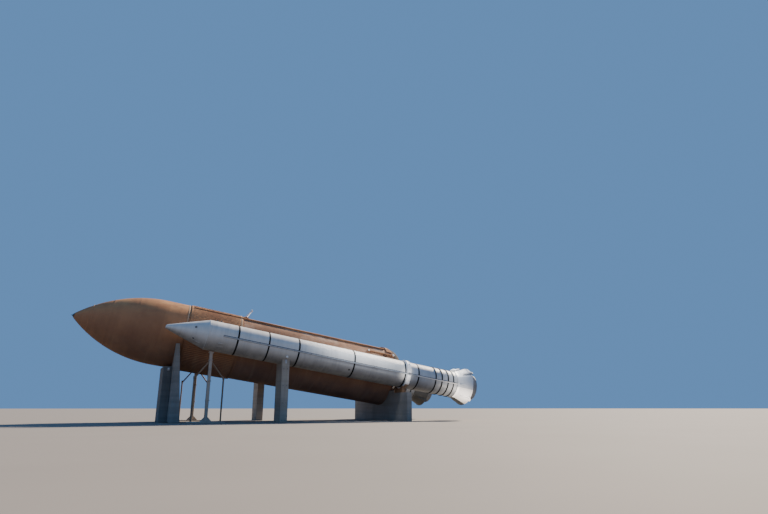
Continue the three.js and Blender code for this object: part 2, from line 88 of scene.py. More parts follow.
def booster_frame(side):
    return STACK @ Matrix.Translation((BOOSTER_TIP, side * BOOSTER_Y, 0))


def around(x, degrees, radius):
    """A point at an angle from the top towards +Y."""
    angle = math.radians(degrees)
    return Vector((x, radius * math.sin(angle), radius * math.cos(angle)))


def at(x, y, z):
    return Matrix.Translation((x, y, z))


def on_skin(x, degrees, radius):
    """A place on a round body: local Z points outwards and local X along the body."""
    return Matrix.Rotation(-math.radians(degrees), 4, "X") @ at(x, 0, radius)


def along(start, end):
    """The frame at start whose X points at end, and the distance."""
    way = Vector(end) - Vector(start)
    return Matrix.Translation(start) @ way.to_track_quat("X", "Z").to_matrix().to_4x4(), way.length


def about(middle, half):
    return middle - half, middle + half


def span(given):
    """The (low, high) pair itself, or for one number the span of twice its length about 0."""
    return (-given, given) if isinstance(given, (int, float)) else given


def step_rows(start, end, radius, rise, slope, *slot):
    """Rows for turned: a low land between two stations, or a groove where the rise is negative."""
    rows = (start, radius), (start + slope, radius + rise), (end - slope, radius + rise), (end, radius)
    return [(*row, *slot) for row in rows]


def mirrored(middle, half):
    """Rows for turned, the same before and after their middle, from (distance, radius) pairs."""
    return [(middle - x, *rest) for x, *rest in half] + [(middle + x, *rest) for x, *rest in reversed(half)]


def even(low, high, count):
    """The two ends and the stations that part the way between them evenly."""
    return [low + (high - low) * i / count for i in range(count + 1)]


def quads(rings, count, start=0):
    """Faces between closed rings of count points each."""
    return [
        [start + k * count + i, start + k * count + (i + 1) % count,
         start + (k + 1) * count + (i + 1) % count, start + (k + 1) * count + i]
        for k in range(rings - 1) for i in range(count)
    ]


class Piece:
    """The geometry of one visible piece in its own frame, with a material index for each face."""

    def __init__(self, name, place, *materials):
        self.name, self.place, self.materials = name, place, materials
        self.points, self.faces, self.slots = [], [], []

    def add(self, points, faces, slots=0, turn=None):
        start = len(self.points)
        self.points += [turn @ Vector(p) for p in points] if turn else [Vector(p) for p in points]
        self.faces += [[start + i for i in face] for face in faces]
        self.slots += slots if isinstance(slots, list) else [slots] * len(faces)

    def turned(self, rows, slot=0, steps=STEPS, turn=None, pick=None, sweep=None):
        """A body of revolution about X. Rows are (station, radius) or (station, radius, slot), where
        the slot holds up to the next row. pick(station, degrees, slot) may change it face by face,
        and sweep=(from, to) in degrees turns a closed outline part of the way.
        """
        count = steps + 1 if sweep else steps
        low, high = sweep or (0, 360)
        angles = even(low, high, steps)[:count]
        points, rings = [], []
        for x, radius, *_ in rows:
            on_axis = radius < 1e-6
            rings.append([len(points)] * count if on_axis else list(range(len(points), len(points) + count)))
            points += [(x, 0, 0)] if on_axis else [around(x, a, radius) for a in angles]
        faces, slots = [], []
        for fore, aft, a, b in zip(rows, rows[1:], rings, rings[1:]):
            base = fore[2] if len(fore) > 2 else slot
            for i in range(steps):
                j = (i + 1) % count
                face = list(dict.fromkeys((a[i], a[j], b[j], b[i])))
                if len(face) > 2:
                    faces.append(face)
                    slots.append(pick((fore[0] + aft[0]) / 2, (angles[i] + angles[j]) / 2, base) if pick else base)
        if sweep:
            faces += [[ring[i] for ring in rings[:-1]] for i in (0, steps)]
            slots += [slot, slot]
        self.add(points, faces, slots, turn)

    def hoop(self, x, base, crest, slot=0, steps=STEPS, turn=None):
        """A plain ring that stands from one radius to another, or a disc where the base is 0."""
        low, high = span(x)
        self.turned([(low, base), (low, crest), (high, crest), (high, base)], slot, steps, turn)

    def box(self, x, y, z, slot=0, chamfer=0.006, turn=None):
        """A box with chamfered edges over the spans x, y and z."""
        spans = span(x), span(y), span(z)
        cut = min(chamfer, *(0.45 * (high - low) for low, high in spans))
        # Each corner has a point on each of its three faces
        points = [
            [spans[n][corner[n]] + (0 if n == axis else cut - 2 * cut * corner[n]) for n in range(3)]
            for corner in product((0, 1), repeat=3) for axis in range(3)
        ]
        faces = []
        for a, b, c in ((0, 1, 2), (1, 2, 0), (2, 0, 1)):
            to_a, to_b, to_c = (12 >> axis for axis in (a, b, c))
            for end in (0, to_a):
                faces.append([end + a, end + to_b + a, end + to_b + to_c + a, end + to_c + a])
            for edge in (0, to_c, to_b, to_b + to_c):
                faces.append([edge + b, edge + to_a + b, edge + to_a + c, edge + c])
        faces += [[3 * k, 3 * k + 1, 3 * k + 2] for k in range(8)]
        self.add(points, faces, slot, turn)

    def prism(self, outline, y, slot=0, turn=None):
        """An outline of (x, z) points drawn out along Y."""
        count = len(outline)
        points = [(px, end, pz) for end in span(y) for px, pz in outline]
        self.add(points, [list(range(count)), list(range(count, 2 * count)), *quads(2, count)], slot, turn)

    def rod(self, start, end, radius, slot=0, steps=24):
        turn, length = along(start, end)
        self.turned([(0, 0), *step_rows(0, length, radius - EDGE, EDGE, EDGE), (length, 0)], slot, steps, turn)

    def boss(self, place, slot, steps, *rows):
        """A solid round shape standing along the place's Z."""
        self.turned([(rows[0][0], 0), *rows, (rows[-1][0], 0)], slot, steps, place @ STAND)

    def bolt(self, place, radius, height, slot=0):
        """A hexagon head."""
        self.boss(place, slot, 6, (-height, radius), (height * 0.7, radius), (height, radius * 0.7))

    def bolts(self, places, *size):
        for place in places:
            self.bolt(place, *size)

    def bolt_ring(self, count, x, radius, *size):
        self.bolts([on_skin(x, i * 360 / count, radius) for i in range(count)], *size)

    def bolt_grid(self, place, xs, ys, level, *size):
        self.bolts([place @ at(x, y, level) for x, y in product(xs, ys)], *size)

    def foam_plugs(self, x, radius, length, width, top, slot=0):
        """Plugs over the bolts of a flange, with half their length and width."""
        for degrees in range(0, 360, 5):
            self.box(length, width, (-0.01, top), slot, 0.008, on_skin(x, degrees, radius))

    def tube(self, path, radius, slot=0, steps=20):
        """A round pipe through the points of path, with flat ends."""
        points, normal = [], None
        for i, p in enumerate(path):
            ahead = (path[min(i + 1, len(path) - 1)] - path[max(i - 1, 0)]).normalized()
            normal = (normal - ahead * normal.dot(ahead) if normal else ahead.orthogonal()).normalized()
            side = ahead.cross(normal)
            for k in range(steps):
                a = 2 * math.pi * k / steps
                points.append(p + normal * (radius * math.cos(a)) + side * (radius * math.sin(a)))
        last = len(points) - steps
        self.add(points, [*quads(len(path), steps), list(range(steps)), list(range(last, last + steps))], slot)

    def done(self, slot, *stands_for, body="root", sharp=32):
        """Makes the Blender object: faces outwards, smooth where the angle is under sharp."""
        data = bpy.data.meshes.new(self.name)
        data.from_pydata(self.points, [], self.faces)
        data.polygons.foreach_set("material_index", self.slots)
        return dress(data, self.name, self.place, self.materials, stands_for, body, sharp)


def new_object(name, data):
    obj = bpy.data.objects.new(name, data)
    bpy.context.scene.collection.objects.link(obj)
    return obj


def dress(data, name, place, materials, stands_for, body="root", sharp=25):
    """An object from a finished mesh, riding on its body in place of the CAD nodes it stands for."""
    work = bmesh.new()
    work.from_mesh(data)
    bmesh.ops.recalc_face_normals(work, faces=work.faces)
    work.to_mesh(data)
    work.free()
    data.shade_smooth()
    data.set_sharp_from_angle(angle=math.radians(sharp))
    for material in materials:
        data.materials.append(material)
    obj = new_object(name, data)
    # Normals weighted by face area keep long plain skins even beside their narrow lips
    weighted = obj.modifiers.new("weighted", "WEIGHTED_NORMAL")
    weighted.keep_sharp = True
    obj.data = bpy.data.meshes.new_from_object(obj.evaluated_get(bpy.context.evaluated_depsgraph_get()))
    obj.modifiers.clear()
    bpy.data.meshes.remove(data)
    obj.data.name = name
    obj.matrix_world = place
    bpy.context.view_layer.update()
    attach(obj, body)
    if stands_for:
        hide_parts(*stands_for)
    return obj


# Finishes

class Finish:
    """A node material on the object's own coordinates."""

    def __init__(self, name, roughness=0.6, metallic=0, specular=0.5):
        self.material = bpy.data.materials.new(name)
        self.material.use_nodes = True
        self.tree = self.material.node_tree
        self.shader = self.tree.nodes["Principled BSDF"].inputs
        self.shader["Roughness"].default_value = roughness
        self.shader["Metallic"].default_value = metallic
        self.shader["Specular IOR Level"].default_value = specular
        self.place = self.node("TexCoord", "Object")

    def put(self, socket, value):
        """Links another node's output to the socket, or sets it to a number, a vector or a colour's tuple."""
        if isinstance(value, bpy.types.NodeSocket):
            self.tree.links.new(value, socket)
        else:
            socket.default_value = (*value, 1) if isinstance(value, tuple) else value

    def node(self, kind, output, inputs=None, **settings):
        node = self.tree.nodes.new(f"ShaderNode{kind}")
        for name, value in settings.items():
            setattr(node, name, value)
        for name, value in (inputs or {}).items():
            self.put(node.inputs[name], value)
        return node.outputs[output]

    def noise(self, scale, detail=3, roughness=0.55, stretch=(1, 1, 1), distortion=0):
        place = self.node("Mapping", "Vector", {"Scale": Vector(stretch), "Vector": self.place})
        return self.node("TexNoise", "Fac", {
            "Scale": scale, "Detail": detail, "Roughness": roughness, "Distortion": distortion, "Vector": place,
        })

    def cells(self, scale):
        return self.node("TexVoronoi", "Distance", {"Scale": scale, "Vector": self.place})

    def bands(self, scale, axis, distortion, profile="SIN"):
        inputs = {"Scale": scale, "Distortion": distortion, "Detail": 2, "Vector": self.place}
        return self.node("TexWave", "Fac", inputs, bands_direction=axis, wave_profile=profile)

    def facing_up(self):
        """The surface normal's share of the world's up, from -1 to 1."""
        return self.node("SeparateXYZ", "Z", {"Vector": self.node("NewGeometry", "Normal")})

    def spread(self, value, low, high, to_low=0, to_high=1):
        return self.node("MapRange", "Result", {
            "Value": value, "From Min": low, "From Max": high, "To Min": to_low, "To Max": to_high,
        })

    def patches(self, low, high, *noise):
        """Noise as a mask: none of it under low, all of it over high."""
        return self.spread(self.noise(*noise), low, high)

    def uneven(self, low, high, *noise):
        """Noise as a roughness that wanders from low to high."""
        return self.spread(self.noise(*noise), 0.3, 0.7, low, high)

    def times(self, a, b):
        return self.node("Math", "Value", {0: a, 1: b}, operation="MULTIPLY")

    def mix(self, share, a, b, blend="MIX"):
        return self.node("Mix", "Result", {"Factor": share, "A": a, "B": b}, data_type="RGBA", blend_type=blend)

    def stain(self, tone, mask, amount, color):
        return self.mix(self.times(mask, amount), tone, color)

    def layered(self, tone, *layers):
        """The tone under layers of patches, each (amount, colour, low, high, *noise)."""
        for amount, color, *mask in layers:
            tone = self.stain(tone, self.patches(*mask), amount, color)
        return tone

    def underside_shade_and_grime(self, tone, amount, start=0.05, dark=(0.24, 0.24, 0.24)):
        """The tone darkened towards the underside: painted shade, with some grime."""
        under = self.times(
            self.spread(self.facing_up(), start, -0.75), self.spread(self.noise(1.4, 5, 0.65), 0.25, 0.6, 0.72, 1))
        return self.stain(tone, under, amount, self.mix(1, tone, dark, "MULTIPLY"))

    def done(self, tone, rough, *bumps):
        """Joins it all to the shader. Each layer of bump is (height, metres, strength)."""
        self.put(self.shader["Base Color"], tone)
        if rough:
            self.put(self.shader["Roughness"], rough)
        below = {}
        for height, depth, strength in bumps:
            normal = self.node("Bump", "Normal", {"Distance": depth, "Strength": strength, "Height": height, **below})
            below = {"Normal": normal}
            self.put(self.shader["Normal"], normal)
        return self.material


def shade(color, share):
    return tuple(share * c for c in color)


def foam_finish(name, light, dark, pale, painted_top_light=None):
    """Sprayed foam: broad tone patches, rings from the spray passes, runs of stain and orange peel, with painted top
    light on upward faces and painted shade towards the underside.
    """
    f = Finish(name, 0.92, specular=0.12)
    tone = f.layered(dark, (1, light, 0.35, 0.65, 0.45, 4))
    # A paler tone given for upward faces is painted top light
    if painted_top_light:
        tone = f.mix(f.spread(f.facing_up(), -0.05, 0.55), tone, painted_top_light)
    tone = f.layered(
        tone,
        (0.34, dark, 0.4, 0.66, 2.2, 3, 0.55, (1, 0.03, 0.03)),
        (0.3, pale, 0.55, 0.78, 1.6, 5, 0.7, (1.3, 0.12, 0.12)),
        (0.35, dark, 0.6, 0.8, 7, 4, 0.7),
    )
    # Paler patches on upward faces: painted top light, broken up by noise
    lit_top_patches = f.times(f.spread(f.facing_up(), 0.25, 0.8), f.patches(0.47, 0.66, 1.1, 6, 0.7, (0.6, 1, 1)))
    # The bluish darkening from the sides down to the underside is painted shade
    tone = f.underside_shade_and_grime(f.stain(tone, lit_top_patches, 0.65, pale), 0.8, 0.4, (0.42, 0.55, 0.8))
    return f.done(tone, f.uneven(0.82, 0.97, 9), (f.bands(0.9, "X", 1.6), 0.004, 0.35),
                  (f.noise(26, 4, 0.6), 0.006, 0.6), (f.cells(70), 0.003, 0.35))


def paint_finish(name, base, grime, amount=0.5, roughness=0.45):
    """Old paint: grey runs down the sides, a soiled upper side, faint mottling and fine scratches, and painted shade
    with some grime towards the underside.
    """
    f = Finish(name, roughness)
    tone = f.layered(base, (0.5, shade(base, 0.86), 0.35, 0.7, 0.7, 4))
    dirt = f.times(f.patches(0.44, 0.74, 3.2, 6, 0.72, (1, 0.07, 0.07)),
                   f.patches(0.3, 0.66, 0.9, 5, 0.65, (0.7, 1, 1), 0.4))
    soil = f.times(f.spread(f.facing_up(), 0.2, 1), f.patches(0.42, 0.72, 2.4, 5))
    tone = f.stain(f.stain(tone, dirt, amount, grime), soil, amount * 0.55, shade(grime, 0.8))
    tone = f.layered(tone, (0.3 * amount, grime, 0.7, 0.78, 34, 2))
    return f.done(f.underside_shade_and_grime(tone, 1.6 * amount), f.uneven(roughness - 0.1, roughness + 0.18, 4, 5),
                  (f.noise(1.1, 2, 0.55, (0.4, 1, 1)), 0.01, 0.12), (f.noise(60, 2), 0.0015, 0.25))


def metal_finish(name, base, worn, roughness=0.5, metallic=0, specular=0.5):
    """A plain painted or bare metal with worn patches and a fine grain."""
    f = Finish(name, roughness, metallic, specular)
    tone = f.layered(base, (0.7, worn, 0.5, 0.72, 5, 6, 0.7),
                     (0.35, shade(base, 0.6), 0.45, 0.8, 0.8, 3, 0.55, (1, 0.2, 1)))
    return f.done(tone, f.uneven(roughness - 0.12, roughness + 0.16, 11, 4), (f.noise(90), 0.0012, 0.3))


def concrete_finish(name, base, light, dark):
    """Board-marked concrete: pours of slightly different tone, stains down the faces, pores."""
    f = Finish(name, 0.9)
    tone = f.layered(
        base,
        (1, light, 0.32, 0.68, 0.55, 5, 0.6),
        (0.28, dark, 0.42, 0.62, 3, 2, 0.55, (0.05, 0.05, 1.6)),
        (0.55, dark, 0.52, 0.75, 1.7, 5, 0.7, (1, 1, 0.1)),
    )
    tone = f.stain(tone, f.spread(f.cells(38), 0, 0.16, 1, 0), 0.5, shade(dark, 0.7))
    return f.done(tone, f.uneven(0.82, 0.96, 6), (f.bands(1.6, "Z", 0.4, "SAW"), 0.004, 0.35),
                  (f.noise(14, 5, 0.65), 0.006, 0.5), (f.cells(38), 0.003, 0.3))


def timber_finish():
    """Weathered sawn timber with its grain along Y."""
    f = Finish("timber", 0.8)
    grain = f.noise(9, 7, 0.7, (1, 0.09, 1), 0.6)
    tone = f.mix(f.spread(grain, 0.32, 0.68), (0.15, 0.072, 0.03), (0.36, 0.19, 0.085))
    return f.done(f.layered(tone, (0.5, (0.2, 0.165, 0.135), 0.5, 0.75, 1.3)), None, (grain, 0.006, 0.7))


def curtain_finish():
    """Quilted glass cloth, soot-stained towards the nozzle."""
    f = Finish("curtain_cloth", 0.85)
    weave = f.times(f.bands(24, "Y", 0.2), f.bands(24, "Z", 0.2))
    tone = f.layered((0.46, 0.45, 0.42), (1, (0.24, 0.23, 0.215), 0.35, 0.7, 1.8, 5))
    return f.done(f.stain(tone, weave, 0.3, (0.16, 0.155, 0.15)), None, (weave, 0.002, 0.5),
                  (f.noise(9, 4), 0.006, 0.4))


def liner_finish():
    """Charred layered liner inside the bell: fine rings and soot."""
    f = Finish("charred_liner", 0.82)
    rings = f.bands(7, "X", 0.6)
    tone = f.layered((0.03, 0.028, 0.027), (1, (0.1, 0.09, 0.08), 0.35, 0.7, 2.6, 5, 0.55, (1, 0.5, 0.5)))
    return f.done(f.stain(tone, rings, 0.35, (0.145, 0.13, 0.115)), None, (rings, 0.004, 0.5),
                  (f.noise(30, 4), 0.003, 0.4))


FOAM = foam_finish("foam", (0.47, 0.232, 0.112), (0.315, 0.15, 0.078), (0.6, 0.34, 0.155))
FOAM_AFT = foam_finish("foam_aft", (0.445, 0.24, 0.14), (0.3, 0.16, 0.096), (0.72, 0.53, 0.39))
# Lighter foam; on the ribbed intertank it is painted light that evens out the shade between the ribs
FOAM_RIBBED = foam_finish("foam_ribbed", (0.5, 0.255, 0.125), (0.36, 0.175, 0.092), (0.62, 0.36, 0.18))
# Pale foam for flanges, ramps and fittings, paler only on upward faces: painted top light
FOAM_PALE = foam_finish("foam_pale", (0.4, 0.2, 0.1), (0.3, 0.145, 0.075), (0.6, 0.42, 0.27), (0.54, 0.37, 0.235))
FOAM_DARK = foam_finish("foam_dark", (0.165, 0.085, 0.05), (0.1, 0.055, 0.036), (0.26, 0.15, 0.09))
# Very dark foam for the tank's aft dome and its covers: painted shade
FOAM_DOME_SHADE = foam_finish("foam_dome_painted_shade", (0.078, 0.056, 0.048), (0.045, 0.036, 0.033), (0.13, 0.1, 0.085))
WHITE = paint_finish("white_paint", (0.72, 0.705, 0.665), (0.3, 0.295, 0.285), 0.55)
FRESH = paint_finish("fresh_white_paint", (0.83, 0.82, 0.79), (0.5, 0.48, 0.45), 0.25, 0.4)
# Bright white paint; on the attach ring, the aft skirt's top and low outboard panels, its posts and its separation
# motors it is partly painted light
BRIGHT_WHITE_AND_LIGHT = paint_finish("bright_white_paint_and_light", (0.93, 0.92, 0.9), (0.74, 0.72, 0.69), 0.06, 0.4)
# Grey-white paint: the tunnel covers' own grey, and painted shade on the aft case segment
GREY_WHITE_AND_SHADE = paint_finish("grey_white_paint_and_shade", (0.5, 0.525, 0.55), (0.26, 0.27, 0.28), 0.55)
# Blue-grey paint for a band round the aft skirt's outboard side: painted shade
BLUE_GREY_SHADE = paint_finish("blue_grey_painted_shade", (0.58, 0.62, 0.66), (0.3, 0.31, 0.32), 0.45)
# Dark grey for the aft skirt's underside and inboard side: painted shade
UNDERSIDE_SHADE = paint_finish("underside_painted_shade", (0.16, 0.17, 0.17), (0.07, 0.07, 0.07), 0.6)
BLACK = metal_finish("black_band", (0.007, 0.008, 0.009), (0.022, 0.022, 0.022), 0.7, specular=0.2)
DARK = metal_finish("dark_grey_paint", (0.085, 0.092, 0.1), (0.2, 0.205, 0.21), 0.55)
GREY = metal_finish("grey_steel_paint", (0.42, 0.36, 0.3), (0.25, 0.2, 0.155), 0.5)
TAN = metal_finish("tan_steel", (0.245, 0.165, 0.105), (0.13, 0.085, 0.055), 0.7)
BARE = metal_finish("bare_metal", (0.5, 0.5, 0.5), (0.28, 0.27, 0.26), 0.42, 0.85)
SPIKE = metal_finish("nose_metal", (0.045, 0.04, 0.038), (0.11, 0.09, 0.08), 0.5, 0.3)
CARBON = metal_finish("nozzle_grey", (0.235, 0.245, 0.26), (0.12, 0.12, 0.125), 0.6)
RUBBER = metal_finish("bearing_rubber", (0.02, 0.02, 0.021), (0.045, 0.044, 0.043), 0.75)
LINER = liner_finish()
CLOTH = curtain_finish()
TIMBER = timber_finish()
CONCRETE = concrete_finish("concrete", (0.23, 0.218, 0.2), (0.305, 0.288, 0.262), (0.13, 0.124, 0.115))
# Warmer, lighter concrete for the middle columns: partly their own tone, partly painted light bounced up from the
# ground
CONCRETE_WARM_AND_BOUNCE = concrete_finish("warm_concrete_and_bounce_light", (0.36, 0.315, 0.255), (0.45, 0.4, 0.33), (0.22, 0.19, 0.16))
CONCRETE_DARK = concrete_finish("dark_concrete", (0.165, 0.16, 0.15), (0.22, 0.212, 0.198), (0.095, 0.092, 0.088))


# Tank

OGIVE_ARC = (TANK_R ** 2 + OGIVE ** 2) / (2 * TANK_R)
FLANGE_PROUD = 0.014
LAND, LAND_HALF = 0.0015, 0.07  # how far the foam over a weld stands proud, and half its width


def ogive(x):
    return math.sqrt(OGIVE_ARC ** 2 - (OGIVE - x) ** 2) - (OGIVE_ARC - TANK_R)


def barrel(x):
    return TANK_R


def with_lands(start, end, radius_at, welds, step):
    """Rows along a skin with a low raised ring over each weld."""
    marks = {start, end, *even(start, end, round((end - start) / step))}
    rows = [(x, radius_at(x)) for x in marks if all(abs(x - weld) > LAND_HALF + 0.02 for weld in welds)]
    for weld, way in product(welds, ENDS):
        edge = weld + way * LAND_HALF
        rows += [(edge, radius_at(edge)), (edge - way * 0.02, radius_at(edge) + LAND)]
    return sorted(rows)


def make_tank_nose():
    cap = Piece("tank_spike_cap", STACK, SPIKE, BARE)
    cap.turned([
        (0, 0), (0, 0.006), (0.012, 0.012), (0.07, 0.02), (0.074, 0.03), (0.105, 0.07), (0.15, 0.127),
        (0.188, 0.172), (0.19, 0.177), (CAP - GAP, 0.182), (CAP - GAP, 0),
    ], steps=96)
    cap.bolts([on_skin(0.168, degrees, 0.149) for degrees in range(15, 360, 30)], 0.005, 0.004, 1)
    cap.done("nose_metal", "tank_nose_cap")


def make_forward_tank():
    tank = Piece("forward_foam_tank", STACK, FOAM, FOAM_PALE, FOAM_DARK)
    flange, aft = 6.56, 6.65
    rows = [(CAP, 0), *with_lands(CAP, OGIVE, ogive, (1.05, 2.15, 3.6), 0.12)]
    rows += with_lands(OGIVE, flange, barrel, (5.42,), 0.35)[1:]
    rows += step_rows(flange, aft, TANK_R, FLANGE_PROUD, 0.012, 1)[:-1]
    tank.turned([*rows, (aft, TANK_R, 2), (aft + 0.02, TANK_R), (FORE - GAP, TANK_R), (FORE - GAP, 0)])
    tank.foam_plugs(6.69, TANK_R, 0.02, 0.028, 0.01)
    tank.done("foam", "forward_tank")


RIBS = 108
RIB_CREST = 0.42  # the ribs' share of their pitch
RIB_FLOOR = 0.046  # from the tank's radius to the ribs' foot, which is lower in the source
SMOOTH_HALF = 14  # degrees of smooth panel each side of the boosters' fittings
THRUST_X = 9.4  # the station of those fittings


def make_intertank():
    ribbed = Piece("ribbed_intertank", STACK, FOAM_RIBBED, FOAM_PALE, FOAM, DARK)
    ring_x, rib_end, tail = 10.05, 9.87, AFT - GAP
    # Stations, each with how far the ribs have risen there
    stations = ((FORE, 0), (FORE + 0.05, 0), (FORE + 0.14, 1), (rib_end, 1), (ring_x - 0.09, 0), (tail, 0))
    pitch = 360 / RIBS
    half = pitch * RIB_CREST / 2
    points = []
    for x, rise in stations:
        for i in range(RIBS):
            middle = i * pitch
            smooth = abs(abs((middle + 180) % 360 - 180) - 90) <= SMOOTH_HALF
            skin = TANK_R + (RIB_PROUD if smooth else RIB_FLOOR)
            crest = skin + (0 if smooth else (RIB_PROUD - RIB_FLOOR) * rise)
            outline = mirrored(0, ((1.35, skin), (1, crest - 0.003), (0.8, crest)))
            points += [around(x, middle + half * share, radius) for share, radius in outline]
    count = RIBS * 6
    last = len(points) - count
    faces = quads(len(stations), count)
    for first, centre in ((0, len(points)), (last, len(points) + 1)):
        faces += [[first + i, first + (i + 1) % count, centre] for i in range(count)]
    ribbed.add([*points, (FORE, 0, 0), (tail, 0, 0)], faces)
    ring = TANK_R + RIB_PROUD
    ribbed.turned(mirrored(ring_x, ((0.06, TANK_R), (0.06, ring - 0.01), (0.048, ring))), 1)
    ribbed.foam_plugs(10.143, TANK_R + RIB_FLOOR, 0.016, 0.024, 0.012, 2)
    for _, side in SIDES:
        # Edge straps and fastener rows on the smooth thrust panels, and the plate under the fitting
        for edge in (-SMOOTH_HALF + 0.6, SMOOTH_HALF - 0.6):
            ribbed.box((FORE + 0.18, rib_end - 0.04), 0.035, 0.01, turn=on_skin(0, side * 90 + edge, ring))
        fasteners = product((7.35, 8.05, 8.75), range(-12, 13, 3))
        ribbed.bolts([on_skin(x, side * 90 + edge, ring) for x, edge in fasteners], 0.011, 0.006)
        ribbed.box(0.34, 0.3, (-0.01, 0.016), 0, 0.012, on_skin(THRUST_X, side * 90, ring))
    # Umbilical plate on the left with its round ports, and an access door on the right
    plate, door = on_skin(8.55, -58, ring), on_skin(8.3, 66, ring)
    ribbed.box(0.26, 0.2, 0.03, 0, 0.014, plate)
    for px, py, size in ((-0.14, 0.07, 0.05), (0, -0.07, 0.062), (0.14, 0.07, 0.045)):
        ribbed.boss(plate @ at(px, py, 0), 3, 28, (0, size), (0.044, size), (0.05, size - 0.008),
                    (0.036, size - 0.014))
    ribbed.box(0.3, 0.22, (-0.03, 0.014), 0, 0.012, door)
    ribbed.box(0.26, 0.18, (0, 0.022), 2, 0.008, door)
    ribbed.done("foam", "intertank", sharp=24)


def make_aft_tank():
    tank = Piece("aft_foam_tank", STACK, FOAM_AFT, FOAM_PALE, FOAM_DOME_SHADE, BARE)
    flange, tail = TANK_END - 0.09, TANK_END + DOME

    def dome(angle):
        return TANK_END + DOME * math.sin(angle), TANK_R * math.cos(angle)

    rows = [(AFT, 0), *with_lands(AFT, flange, barrel, (12.55, 14.95, 17.35, 19.75), 0.45)]
    rows += step_rows(flange, TANK_END, TANK_R, FLANGE_PROUD, 0.012)[:-1]
    # The dome takes the very dark foam: painted shade
    rows += [(*dome(angle), 2) for angle in even(0, math.pi / 2, 26)[:-1]]
    tank.turned([*rows, (tail, 0)])
    for x in (10.225, flange - 0.035):
        tank.foam_plugs(x, TANK_R, 0.018, 0.024, 0.01)
    # Manhole covers and the outlet on the dome
    angle = 0.62 * math.pi / 2
    for degrees in (20, 200):
        centre = around(dome(angle)[0], degrees, dome(angle)[1])
        normal = Vector((math.sin(angle) / DOME, *around(0, degrees, math.cos(angle) / TANK_R)[1:]))
        cover = along(centre, centre + normal)[0] @ STAND.inverted()
        tank.boss(cover, 2, 48, (-0.03, 0.2), (0.02, 0.2), (0.028, 0.19))
        tank.bolts([cover @ Matrix.Rotation(k * math.pi / 8, 4, "Z") @ at(0.165, 0, 0.028) for k in range(16)],
                   0.009, 0.008, 3)
    tank.turned([(tail - 0.05, 0), (tail - 0.05, 0.16), (tail - 0.006, 0.15), (tail - 0.006, 0)], 3, 48)
    tank.done("foam", "aft_tank")


FEED_ANGLE = 22
FEED_STANDOFF = 0.19
FEED_REACH = TANK_R + FEED_STANDOFF
FEED_R = 0.11
FEED_START = 9.7
FEED_END = 20.79


def smooth_path(stations, degrees, steps=8):
    """A Catmull-Rom curve through (station, radius) pairs at one angle round the tank."""
    points = [around(x, degrees, radius) for x, radius in stations]
    padded = [2 * points[0] - points[1], *points, 2 * points[-1] - points[-2]]
    path = []
    for p0, p1, p2, p3 in zip(padded, padded[1:], padded[2:], padded[3:]):
        for t in even(0, 1, steps)[:-1]:
            path.append(0.5 * (2 * p1 + (p2 - p0) * t + (2 * p0 - 5 * p1 + 4 * p2 - p3) * t ** 2
                               + (3 * p1 - p0 - 3 * p2 + p3) * t ** 3))
    return [*path, points[-1]]


def ramp(top, *stations):
    """The side view of a foam ramp on the skin: foot, crest, crest and foot."""
    return list(zip(stations, (-0.02, top, top, -0.02)))


def make_feedline():
    line = Piece("foam_feedline", STACK, FOAM, FOAM_DARK, FOAM_PALE)
    axis = Matrix.Translation(around(0, FEED_ANGLE, FEED_REACH))
    path = smooth_path(((FEED_START, TANK_R + 0.02), (FEED_START + 0.14, FEED_REACH - 0.03),
                        (FEED_START + 0.42, FEED_REACH), (FEED_START + 0.8, FEED_REACH)), FEED_ANGLE)
    path += smooth_path(((FEED_END - 0.9, FEED_REACH), (FEED_END - 0.4, FEED_REACH),
                         (FEED_END - 0.15, FEED_REACH - 0.02), (FEED_END, FEED_REACH - 0.12),
                         (FEED_END + 0.04, TANK_R - 0.04)), FEED_ANGLE)
    line.tube(path, FEED_R, 0, 32)
    for x in (10.55, 12.9, 15.2, 17.5, 19.9):
        # Bellows joints, a pair of flanges with a ribbed sleeve between
        rows = [(x - 0.09, -0.01), (x - 0.09, 0.012), (x - 0.06, 0.012)]
        for k in range(6):
            rows += [(x - 0.055 + k * 0.02, 0.002), (x - 0.045 + k * 0.02, 0.008)]
        rows += [(x + 0.06, 0.012), (x + 0.09, 0.012), (x + 0.09, -0.01)]
        line.turned([(station, FEED_R + proud) for station, proud in rows], 1, 32, axis)
    for i, x in enumerate(even(10.675, 20.29, 6)):
        # A foam ramp ahead of each bracket, the bracket's two cheeks and its strap over the pipe
        turn = on_skin(x, FEED_ANGLE, TANK_R)
        line.prism(ramp(0.075, -0.34, -0.05, 0.07, 0.16), 0.13, 2 if i % 2 else 0, turn)
        for y in (-0.065, 0.065):
            line.box(0.045, about(y, 0.02), (-0.02, FEED_STANDOFF - 0.02), 0, 0.008, turn)
        line.hoop(about(x, 0.03), FEED_R - 0.005, FEED_R + 0.01, 1, 32, axis)
    line.done("foam", "feedline")


TRAY_ANGLE = -30


